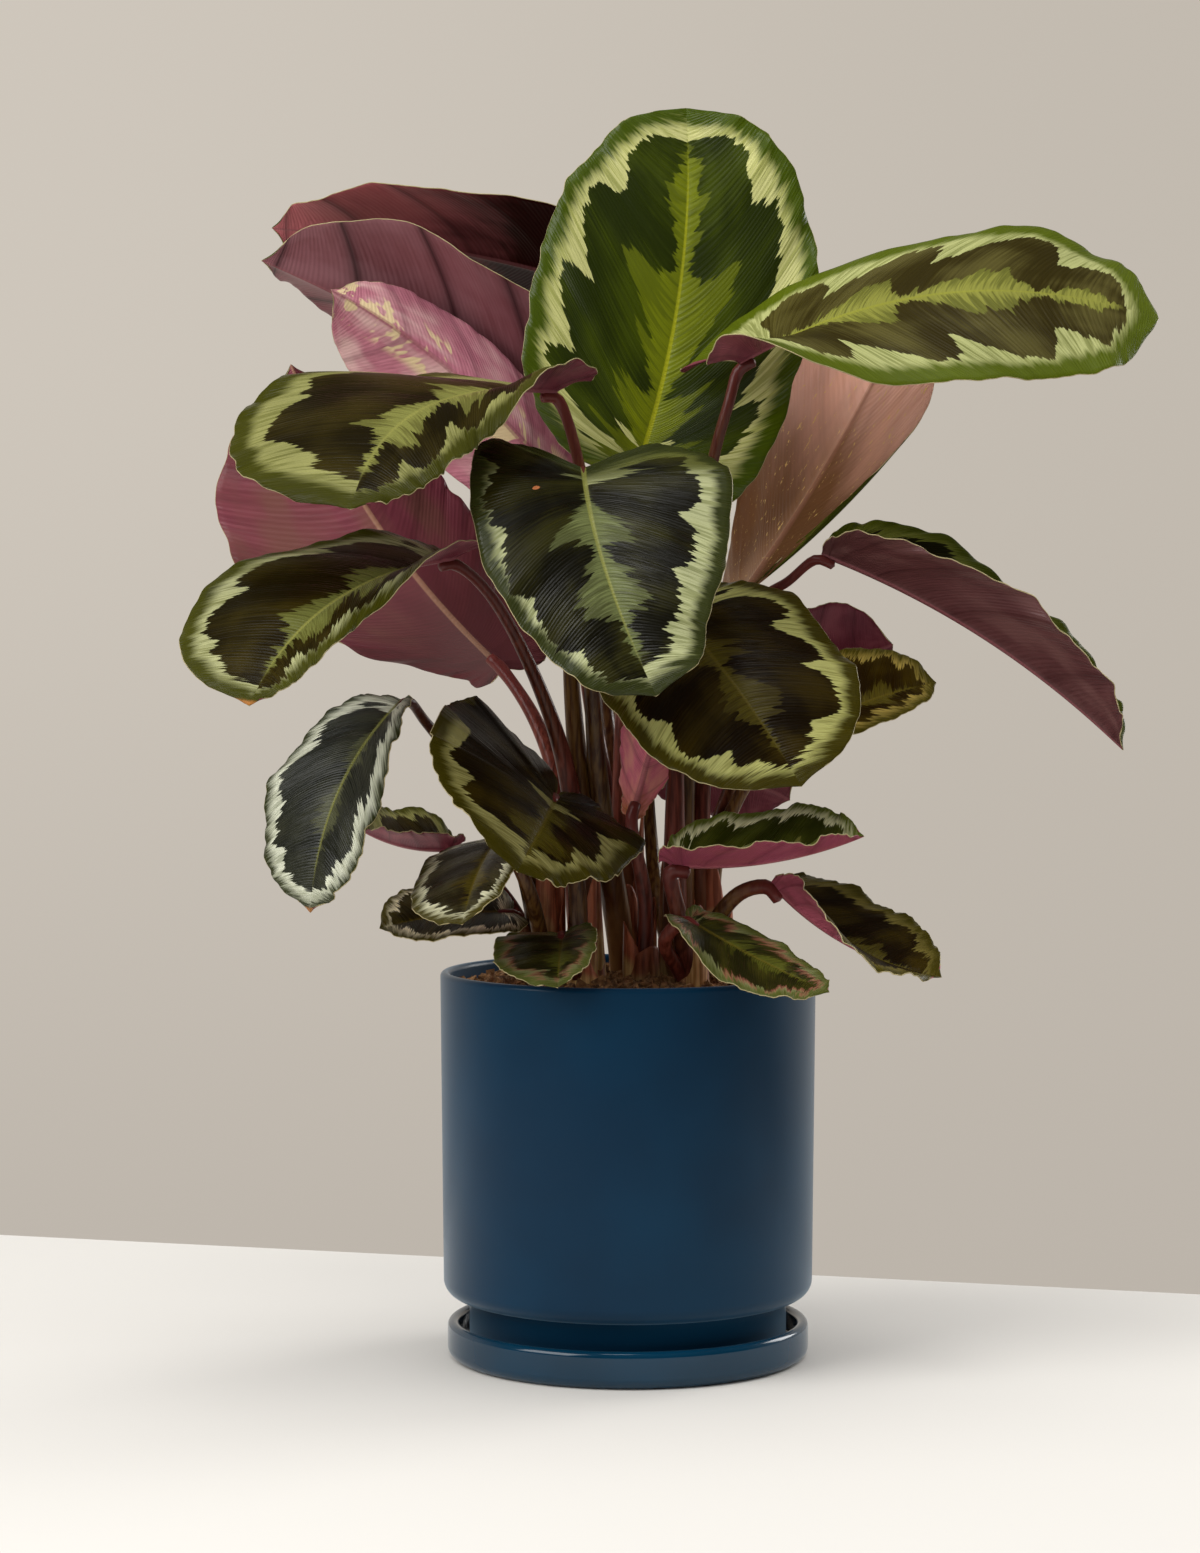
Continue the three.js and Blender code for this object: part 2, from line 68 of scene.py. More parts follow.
MM = 0.001
print("frame:", len(frame["nodes"]), "nodes")

# %% [markdown]
# The camera comes first, because everything after it is judged through it. Its height, tilt and distance were
# worked out from four ellipses in the photograph: the pot's rim, its drum, and the saucer's lip and base.
# The focal length is kept in the photograph's pixels, which Blender wants as millimetres on a sensor whose
# long side is 36 mm.

# %% Camera
IMAGE_HEIGHT = 1553
FOCAL_PIXELS = 3600
SENSOR = 36
CAMERA_AT = (-0.0152, -1.953, 0.396)
TILT_DOWN = 2.36

camera_data = bpy.data.cameras.new("camera")
camera_data.sensor_width = SENSOR
camera_data.lens = FOCAL_PIXELS / IMAGE_HEIGHT * SENSOR
camera = bpy.data.objects.new("camera", camera_data)
camera.location = CAMERA_AT
camera.rotation_euler = (math.radians(90 - TILT_DOWN), 0, 0)
bpy.context.scene.collection.objects.link(camera)
bpy.context.scene.camera = camera
bpy.context.scene.view_settings.view_transform = "Standard"
print("lens:", round(camera_data.lens, 2), "mm")

# %% [markdown]
# Every piece of the plant ends as a mesh. Blender can build one vertex by vertex, but whole arrays of points and
# faces are far quicker to put in, and the shape stays a formula that can be read and changed. Most surfaces here
# are grids, so their faces follow from the numbers of their points alone.

# %% Mesh helpers
def add_mesh(name, points, faces, materials, face_material=None, smooth=True):
    """Makes an object of points (n, 3) in millimetres and of faces (m, 3 or 4). Each face takes the first
    material, or the one that face_material numbers for it."""
    mesh = bpy.data.meshes.new(name)
    count, corners = faces.shape
    mesh.vertices.add(len(points))
    mesh.vertices.foreach_set("co", (points * MM).astype(np.float32).ravel())
    mesh.loops.add(count * corners)
    mesh.loops.foreach_set("vertex_index", faces.astype(np.int32).ravel())
    mesh.polygons.add(count)
    mesh.polygons.foreach_set("loop_start", np.arange(0, count * corners, corners, dtype=np.int32))
    mesh.polygons.foreach_set("use_smooth", np.full(count, smooth))
    for material in materials:
        mesh.materials.append(material)
    if face_material is not None:
        mesh.polygons.foreach_set("material_index", face_material.astype(np.int32))
    mesh.update(calc_edges=True)
    piece = bpy.data.objects.new(name, mesh)
    bpy.context.scene.collection.objects.link(piece)
    return piece


def add_attribute(piece, name, values):
    """Keeps one number for each vertex of a piece, for its material to read."""
    attribute = piece.data.attributes.new(name, "FLOAT", "POINT")
    attribute.data.foreach_set("value", values.astype(np.float32).ravel())


def grid_faces(number):
    """Two triangles for each cell of a grid, which holds the numbers of its points."""
    a, b, c, d = number[:-1, :-1], number[:-1, 1:], number[1:, 1:], number[1:, :-1]
    return np.concatenate([np.stack([a, b, c], -1), np.stack([a, c, d], -1)]).reshape(-1, 3)


def ring_faces(rings, around):
    """Triangles between rings of points that follow one another, each ring closed on itself."""
    number = np.arange((rings + 1) * around).reshape(rings + 1, around)
    return grid_faces(np.concatenate([number, number[:, :1]], 1))


def strip_faces(loop, other):
    """Two triangles for each step between two closed loops of point numbers."""
    after, beyond = np.roll(loop, -1), np.roll(other, -1)
    return np.concatenate([np.stack([after, loop, other], -1), np.stack([after, other, beyond], -1)])


def fan_faces(loop, centre):
    """A triangle from each step of a closed loop to one point."""
    return np.stack([loop, np.roll(loop, -1), np.full(len(loop), centre)], -1)


# %% [markdown]
# A finish is a network of nodes. It could be joined by hand in the Shader Editor. Here a small helper writes it:
# each call adds one node and gives back its output, so that a pattern reads like a sum, and a leaf's pattern can
# be made 25 times with other numbers.

# %% Material helpers
GAMMA = 2.2
NOISE_EDGE = (0.35, 0.65)  # noise lies mostly between 0.3 and 0.7, so a step between these makes two tones of it


def paint(red, green, blue):
    """A colour as the eye names it, 0 to 255, as the linear numbers that light adds up in: (c / 255) ^ 2.2."""
    return tuple((c / 255) ** GAMMA for c in (red, green, blue)) + (1.0,)


class Wiring:
    """A material whose nodes are added one call at a time. Values may be numbers, colours or outputs."""

    def __init__(self, name, world=False):
        """Starts the tree with the shader and its output: Principled, or Background for the world."""
        self.material = (bpy.data.worlds if world else bpy.data.materials).new(name)
        self.material.use_nodes = True
        self.tree = self.material.node_tree
        self.tree.nodes.clear()
        kind = "World" if world else "Material"
        self.shader = self.tree.nodes.new("ShaderNodeBackground" if world else "ShaderNodeBsdfPrincipled")
        output = self.tree.nodes.new("ShaderNodeOutput" + kind)
        self.tree.links.new(self.shader.outputs[0], output.inputs[0])

    def fill(self, socket, value):
        """Links an output to the socket, or sets the socket to a number or a colour."""
        if isinstance(value, bpy.types.NodeSocket):
            self.tree.links.new(value, socket)
        else:
            socket.default_value = value

    def set(self, **inputs):
        """Sets the shader's own inputs, written with _ for a blank."""
        for name, value in inputs.items():
            self.fill(self.shader.inputs[name.replace("_", " ")], value)

    def math(self, operation, *values):
        """The operation on the values, in one Math node."""
        node = self.tree.nodes.new("ShaderNodeMath")
        node.operation = operation
        for socket, value in zip(node.inputs, values):
            self.fill(socket, value)
        return node.outputs[0]

    def plus(self, *values):
        """The sum of all the values."""
        total = values[0]
        for value in values[1:]:
            total = self.math("ADD", total, value)
        return total

    def minus(self, a, b):
        """The first value less the second."""
        return self.math("SUBTRACT", a, b)

    def times(self, a, b):
        """The product of the two values."""
        return self.math("MULTIPLY", a, b)

    def attribute(self, name):
        """The number that the mesh keeps under this name for each vertex."""
        node = self.tree.nodes.new("ShaderNodeAttribute")
        node.attribute_name = name
        return node.outputs["Fac"]

    def place(self):
        """Object coordinates: where the surface is, in metres from the piece's origin."""
        return self.tree.nodes.new("ShaderNodeTexCoord").outputs["Object"]

    def stretched(self, scale):
        """Object coordinates times a scale for each axis."""
        node = self.tree.nodes.new("ShaderNodeMapping")
        self.tree.links.new(self.place(), node.inputs["Vector"])
        node.inputs["Scale"].default_value = scale
        return node.outputs[0]

    def vector(self, x, y, z):
        """Three values as one place."""
        node = self.tree.nodes.new("ShaderNodeCombineXYZ")
        for socket, value in zip(node.inputs, (x, y, z)):
            self.fill(socket, value)
        return node.outputs[0]

    def noise(self, vector, scale=1.0, detail=2.0, rough=0.5):
        """Smooth random values from 0 to 1, mostly between 0.3 and 0.7."""
        node = self.tree.nodes.new("ShaderNodeTexNoise")
        self.tree.links.new(vector, node.inputs["Vector"])
        node.inputs["Scale"].default_value = scale
        node.inputs["Detail"].default_value = detail
        node.inputs["Roughness"].default_value = rough
        return node.outputs["Fac"]

    def lit(self, colour, value):
        """The colour made lighter or darker by a factor."""
        node = self.tree.nodes.new("ShaderNodeHueSaturation")
        self.fill(node.inputs["Color"], colour)
        self.fill(node.inputs["Value"], value)
        return node.outputs[0]

    def step(self, value, low, high):
        """0 below low, 1 above high, and a smooth rise between."""
        node = self.tree.nodes.new("ShaderNodeMapRange")
        node.interpolation_type = "SMOOTHSTEP"
        self.fill(node.inputs["Value"], value)
        node.inputs["From Min"].default_value = low
        node.inputs["From Max"].default_value = high
        return node.outputs[0]

    def mix(self, share, a, b):
        """Colour a where the share is 0, b where it is 1, and a + share (b - a) between."""
        node = self.tree.nodes.new("ShaderNodeMix")
        node.data_type = "RGBA"  # then sockets 6 and 7 take the two colours, and output 2 gives the result
        self.fill(node.inputs["Factor"], share)
        self.fill(node.inputs[6], a)
        self.fill(node.inputs[7], b)
        return node.outputs[2]

    def bump(self, height, distance, strength):
        """Shades the surface as if it rose by the height times the distance, in metres."""
        node = self.tree.nodes.new("ShaderNodeBump")
        node.inputs["Strength"].default_value = strength
        node.inputs["Distance"].default_value = distance
        self.tree.links.new(height, node.inputs["Height"])
        self.set(Normal=node.outputs[0])


# %% [markdown]
# The stage is a pale table whose back edge shows behind the pot. The light is soft and comes from the left:
# a large panel is the key, and a weaker one behind on the right draws thin bright edges. A wide panel overhead
# and a weak one near the viewer open up the shadows, and neither shows in reflections. A small overhead strip
# does, and draws the glints along the pleats. The surround is a warm grey behind the plant and much darker on
# the viewer's side and, for reflections only, overhead: a glossy leaf that mirrors a pale ceiling turns grey.
# A picture of a studio could light the plant too, but panels can be moved one at a time.

# %% Stage
TABLE = [(-2.2, -2.6), (2.2, -2.6), (2.2, -0.348), (-2.2, 0.888)]  # corners in metres, with a slanting back edge
TABLE_THICK = 0.03

corners = np.array([(x, y, z) for z in (0, -TABLE_THICK) for x, y in TABLE]) / MM
sides = [(0, 1, 2, 3), (7, 6, 5, 4)] + [(k, k + 4, (k + 1) % 4 + 4, (k + 1) % 4) for k in range(4)]
top = Wiring("table_top")
top.set(Base_Color=paint(212, 208, 201), Roughness=0.8, Specular_IOR_Level=0.2)
table = add_mesh("table", corners, np.array(sides), [top.material], smooth=False)
print("table:", len(sides), "faces")

# %% Surround
# The direction of a ray has three parts, to the right, behind and up, each from -1 to 1.
surround = Wiring("surround", world=True)
ray = surround.tree.nodes.new("ShaderNodeSeparateXYZ")
surround.tree.links.new(surround.tree.nodes.new("ShaderNodeTexCoord").outputs["Generated"], ray.inputs[0])
to_right, behind, up = ray.outputs
wall = surround.mix(surround.step(to_right, -0.18, 0.18), paint(205, 197, 186), paint(193, 185, 174))
low = surround.mix(surround.step(up, -0.25, 0.1), paint(186, 178, 168), wall)
mirrored = surround.tree.nodes.new("ShaderNodeLightPath").outputs["Is Glossy Ray"]
ceiling = surround.mix(mirrored, paint(218, 220, 223), paint(70, 71, 72))
sky = surround.mix(surround.step(up, 0.3, 0.75), low, ceiling)
around_viewer = surround.mix(surround.step(up, 0.0, 0.8), paint(50, 50, 50), ceiling)
surround.set(Color=surround.mix(surround.step(behind, -0.25, 0.6), around_viewer, sky))
bpy.context.scene.world = surround.material
print("surround:", len(surround.tree.nodes), "nodes")

# %% Light panels
PLANT_MIDDLE = (0, 0, 0.4)


def add_panel(name, at, size, watts, aim=PLANT_MIDDLE, glints=True):
    """A square light panel at a place, turned to face the plant. Without glints, it lights but isn't mirrored.
    Its angles are those of the line from the aim to the panel: its lean from upright, and its turn about Z."""
    light = bpy.data.lights.new(name, "AREA")
    light.size = size
    light.energy = watts
    panel = bpy.data.objects.new(name, light)
    panel.location = at
    panel.visible_glossy = glints
    away = np.array(at) - np.array(aim)
    flat = math.hypot(away[0], away[1])
    panel.rotation_euler = (math.atan2(flat, away[2]), 0, math.atan2(away[1], away[0]) + math.pi / 2)
    bpy.context.scene.collection.objects.link(panel)


add_panel("key", (-1.7, -1.15, 1.55), size=1.6, watts=39)
add_panel("edge", (1.5, 1.0, 0.9), size=0.8, watts=14)
add_panel("over", (0.1, -0.5, 2.4), size=2.2, watts=26, aim=(0.1, -0.5, 0), glints=False)
add_panel("strip", (-0.15, -0.45, 2.3), size=0.5, watts=5)
add_panel("fill", (0.3, -2.7, 0.8), size=1.6, watts=4, glints=False)
print("light panels:", len(bpy.data.lights))

# %% [markdown]
# The pot and the saucer were cast and glazed. Both are round, so each is one profile turned about the upright
# axis. The Screw modifier could turn it too, but worked out here, the ring of points closes on itself without a
# seam. A profile is a closed chain of straight runs and round edges, and the round edges are arcs, which catch
# the thin lines of light that tell glazed ware from plastic.

# %% Turned pieces
ROUND_STEPS = 192


def arc(x, z, radius, start, end, steps):
    """Points on a circle about (x, z), from one angle to another in degrees: x + r cos a, z + r sin a."""
    angle = np.radians(np.linspace(start, end, steps + 1))
    return [(x + radius * c, z + radius * s) for c, s in zip(np.cos(angle), np.sin(angle))]


def turned(name, profile, material):
    """Turns a closed profile of (radius, height) about the axis: x = r cos a, y = r sin a."""
    r, z = np.array(profile).T
    angle = np.linspace(0, 2 * np.pi, ROUND_STEPS, endpoint=False)[:, None]
    points = np.stack([r * np.cos(angle), r * np.sin(angle), z + 0 * angle], -1).reshape(-1, 3)
    count = len(profile)
    across = np.arange(count)
    around = np.arange(ROUND_STEPS)[:, None]
    ahead = (around + 1) % ROUND_STEPS
    faces = np.stack([
        around * count + across,
        ahead * count + across,
        ahead * count + (across + 1) % count,
        around * count + (across + 1) % count,
    ], -1).reshape(-1, 4)
    return add_mesh(name, points, faces, [material])


# %% [markdown]
# The glaze is a satin petrol blue on the pot and a glossier one on the saucer. One plain colour would look like
# plastic, and a picture would show its grain from close by. So slow noise mixes two near blues and also moves
# the gloss a little, and a fine dimple breaks up the reflections.

# %% Glaze
def glaze(name, colour, deep, rough, shine, bloom):
    """A satin glaze: two close blues in slow clouds, a little uneven in gloss, with a very fine dimple. The
    pale bloom that such a glaze shows at a flat angle is sheen."""
    w = Wiring(name)
    cloud = w.noise(w.place(), scale=9, detail=3)
    speck = w.noise(w.place(), scale=900, detail=1)
    w.set(Base_Color=w.mix(w.step(cloud, *NOISE_EDGE), deep, colour))
    w.set(Roughness=w.plus(rough, w.times(cloud, 0.08)), Specular_IOR_Level=shine)
    w.set(Sheen_Weight=bloom, Sheen_Roughness=0.4, Sheen_Tint=paint(170, 200, 222))
    w.bump(w.plus(w.times(cloud, 0.6), w.times(speck, 0.1)), 0.0006, 0.25)
    return w.material


pot_glaze = glaze("pot_glaze", paint(6, 49, 72), paint(3, 42, 63), rough=0.26, shine=0.16, bloom=0.35)
saucer_glaze = glaze("saucer_glaze", paint(6, 54, 76), paint(3, 46, 65), rough=0.08, shine=0.45, bloom=0.1)
print("glazes:", pot_glaze.name, saucer_glaze.name)

# %% Saucer
SAUCER = dict(radius=98.3, foot=95.5, height=20, wall=6.5, floor=6.5, edge=3)
AXIS = 0.01  # the profile stops just short of the axis, so that no face shrinks to nothing


def saucer_profile(radius, foot, height, wall, floor, edge):
    """Underside, round lower edge, wall with a half-round lip, round inner edge, and floor."""
    lip = wall / 2
    return [
        (AXIS, 0), (foot - edge, 0),
        *arc(radius - 2 * edge, 2 * edge, 2 * edge, -70, 0, 8),
        *arc(radius - lip, height - lip, lip, 0, 180, 16),
        *arc(radius - wall - edge, floor + edge, edge, 0, -90, 8),
        (AXIS, floor),
    ]


saucer = turned("saucer_glazed", saucer_profile(**SAUCER), saucer_glaze)
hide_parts("saucer")
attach(saucer, "root")
print("saucer:", len(saucer.data.polygons), "faces")

# %% Pot
GAP = 0.3  # the clearance that the solids keep between two pieces that lie on each other
RIM_RADIUS, LOW_RADIUS, POT_TOP = 102, 100.4, 210
DRUM_BOTTOM, LOWER_EDGE, FOOT_RADIUS = 33.5, 9, 86.3
WALL, POT_FLOOR, DRAIN = 5.5, 7, 6
FOOT_EDGE, FOOT_CORNER = 1.5, 2
FOOT_BOTTOM = SAUCER["floor"] + GAP
INNER_LOW, INNER_FOOT = LOW_RADIUS - WALL, FOOT_RADIUS - WALL
SHELF = DRUM_BOTTOM + POT_FLOOR


def pot_profile():
    """From the drainage hole out under the foot and up it, round the lower edge, up the drum to a half-round rim,
    then down inside by the same wall and across the floor to the hole."""
    lip = WALL / 2
    return [
        (DRAIN, FOOT_BOTTOM), (FOOT_RADIUS - FOOT_EDGE, FOOT_BOTTOM), (FOOT_RADIUS, FOOT_BOTTOM + FOOT_EDGE),
        (FOOT_RADIUS, DRUM_BOTTOM - FOOT_CORNER), (FOOT_RADIUS + FOOT_CORNER, DRUM_BOTTOM),
        *arc(LOW_RADIUS - LOWER_EDGE, DRUM_BOTTOM + LOWER_EDGE, LOWER_EDGE, -90, 0, 14),
        *arc(RIM_RADIUS - lip, POT_TOP - lip, lip, 0, 180, 16),
        *arc(INNER_LOW - LOWER_EDGE, SHELF + LOWER_EDGE, LOWER_EDGE, 0, -90, 8),
        (INNER_FOOT, SHELF), (INNER_FOOT, FOOT_BOTTOM + POT_FLOOR), (DRAIN, FOOT_BOTTOM + POT_FLOOR),
    ]


pot = turned("pot_glazed", pot_profile(), pot_glaze)
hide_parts("pot")
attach(pot, "root")
print("pot:", len(pot.data.polygons), "faces")

# %% [markdown]
# Potting mix is crumbs of coir and bark, pressed into low lumps around the shoots. It could be thousands of
# scattered copies, but those are lost when the model is exported. So the ground is a disc whose height is a low
# mound round the shoots plus a few waves and fine random grain, and loose bits lie on it: each is a small
# squashed block, and all of them share one mesh, so that hundreds cost no more than one leaf.

# %% Ground
SOIL_TOP, SOIL_LUMP = 201, 1.6
SOIL_RADIUS, SOIL_DEPTH = 95.6, 150.0
MOUND, MOUND_TOP, MOUND_FOOT = 4.5, 50, 86
GRAIN = 0.5
rng = np.random.default_rng(7)


def lump_at(x, y):
    """Height of the ground: a low mound that falls off towards the wall by f^2 (3 - 2f), plus the lump's height
    times wide waves 0.7 sin(.21x+1) sin(.17y) and small ones 0.4 sin(.47x) cos(.41y)."""
    fall = np.clip((np.hypot(x, y) - MOUND_TOP) / (MOUND_FOOT - MOUND_TOP), 0, 1)
    mound = MOUND * (1 - fall ** 2 * (3 - 2 * fall))
    wide = np.sin(x * 0.21 + 1) * np.sin(y * 0.17)
    return mound + SOIL_LUMP * (0.7 * wide + 0.4 * np.sin(x * 0.47) * np.cos(y * 0.41))


def soil_surface(rings=90, around=240):
    """A disc of polar rows on a deep plug: the radius runs inwards, and each point is raised by the lumps and by
    grain, both calmed to nothing at the wall by 1 - (r / R)^8."""
    radius = np.linspace(SOIL_RADIUS, 0.6, rings)[:, None]
    angle = np.linspace(0, 2 * np.pi, around, endpoint=False)
    x, y = radius * np.cos(angle), radius * np.sin(angle)
    calm = 1 - (radius / SOIL_RADIUS) ** 8
    grain = GRAIN * rng.standard_normal(x.shape)
    z = SOIL_TOP + calm * (lump_at(x, y) + grain)
    top = np.stack([x, y, z], -1).reshape(-1, 3)
    wall = np.stack([x[0], y[0], np.full(around, SOIL_TOP - SOIL_DEPTH)], -1)
    middle = np.array([[0, 0, SOIL_TOP], [0, 0, SOIL_TOP - SOIL_DEPTH]])
    points = np.concatenate([wall, top, middle])
    lowest = np.arange(around)
    cap = fan_faces(rings * around + lowest, len(points) - 2)
    under = fan_faces(lowest, len(points) - 1)[:, ::-1]
    return points, np.concatenate([ring_faces(rings, around), cap, under])


# %% Crumbs
CRUMBS, CRUMB_REACH, CRUMB_RISE = 1400, 0.97, 0.6
CRUMB_LEAST, CRUMB_LARGEST, CRUMB_UNEVEN = 0.4, 1.8, 0.35


def scattered_crumbs(count):
    """Blocks of 8 corners, each stretched, turned at random and dropped on the soil. The distance from the axis
    is the root of a random share, which fills the disc evenly, and most are small: sizes follow a gamma curve."""
    reach = SOIL_RADIUS * CRUMB_REACH * np.sqrt(rng.random(count))
    angle = rng.random(count) * 2 * np.pi
    x, y = reach * np.cos(angle), reach * np.sin(angle)
    centre = np.stack([x, y, SOIL_TOP + lump_at(x, y) + CRUMB_RISE], -1)
    size = np.minimum(rng.gamma(2.2, 0.55, (count, 1)), CRUMB_LARGEST)
    size = size * rng.uniform(0.5, 1.5, (count, 3)) + CRUMB_LEAST
    cube = np.array([[i, j, k] for i in (-1, 1) for j in (-1, 1) for k in (-1, 1)], dtype=float)
    corner = cube * (1 + CRUMB_UNEVEN * rng.standard_normal((count, 8, 1))) * size[:, None]
    spin = rng.standard_normal((count, 3, 3))
    axes = np.linalg.qr(spin)[0]
    axes *= np.sign(np.linalg.det(axes))[:, None, None]
    points = np.einsum("nij,nkj->nki", axes, corner) + centre[:, None]
    quads = np.array([[0, 1, 3, 2], [4, 6, 7, 5], [0, 4, 5, 1], [2, 3, 7, 6], [0, 2, 6, 4], [1, 5, 7, 3]])
    faces = quads[None] + 8 * np.arange(count)[:, None, None]
    return points.reshape(-1, 3), faces.reshape(-1, 4)


# %% Potting mix
def potting_mix():
    """Patches of two browns, strewn with fine pale fibres, and rough by the same noise."""
    w = Wiring("potting_mix")
    patch = w.noise(w.place(), scale=160, detail=4, rough=0.65)
    grain = w.noise(w.place(), scale=900, detail=3, rough=0.7)
    brown = w.mix(w.step(patch, *NOISE_EDGE), paint(88, 60, 34), paint(172, 128, 82))
    w.set(Base_Color=w.mix(w.step(grain, 0.55, 0.75), brown, paint(210, 170, 120)), Roughness=0.95)
    w.bump(w.plus(patch, grain), 0.002, 0.8)
    return w.material


mix_finish = potting_mix()
soil_points, soil_faces = soil_surface()
soil = add_mesh("potting_mix", soil_points, soil_faces, [mix_finish])
crumb_points, crumb_faces = scattered_crumbs(CRUMBS)
crumbs = add_mesh("potting_crumbs", crumb_points, crumb_faces, [mix_finish], smooth=False)
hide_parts("soil")
for piece in (soil, crumbs):
    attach(piece, "root")
print("potting mix:", len(soil_faces), "faces and", CRUMBS, "crumbs")
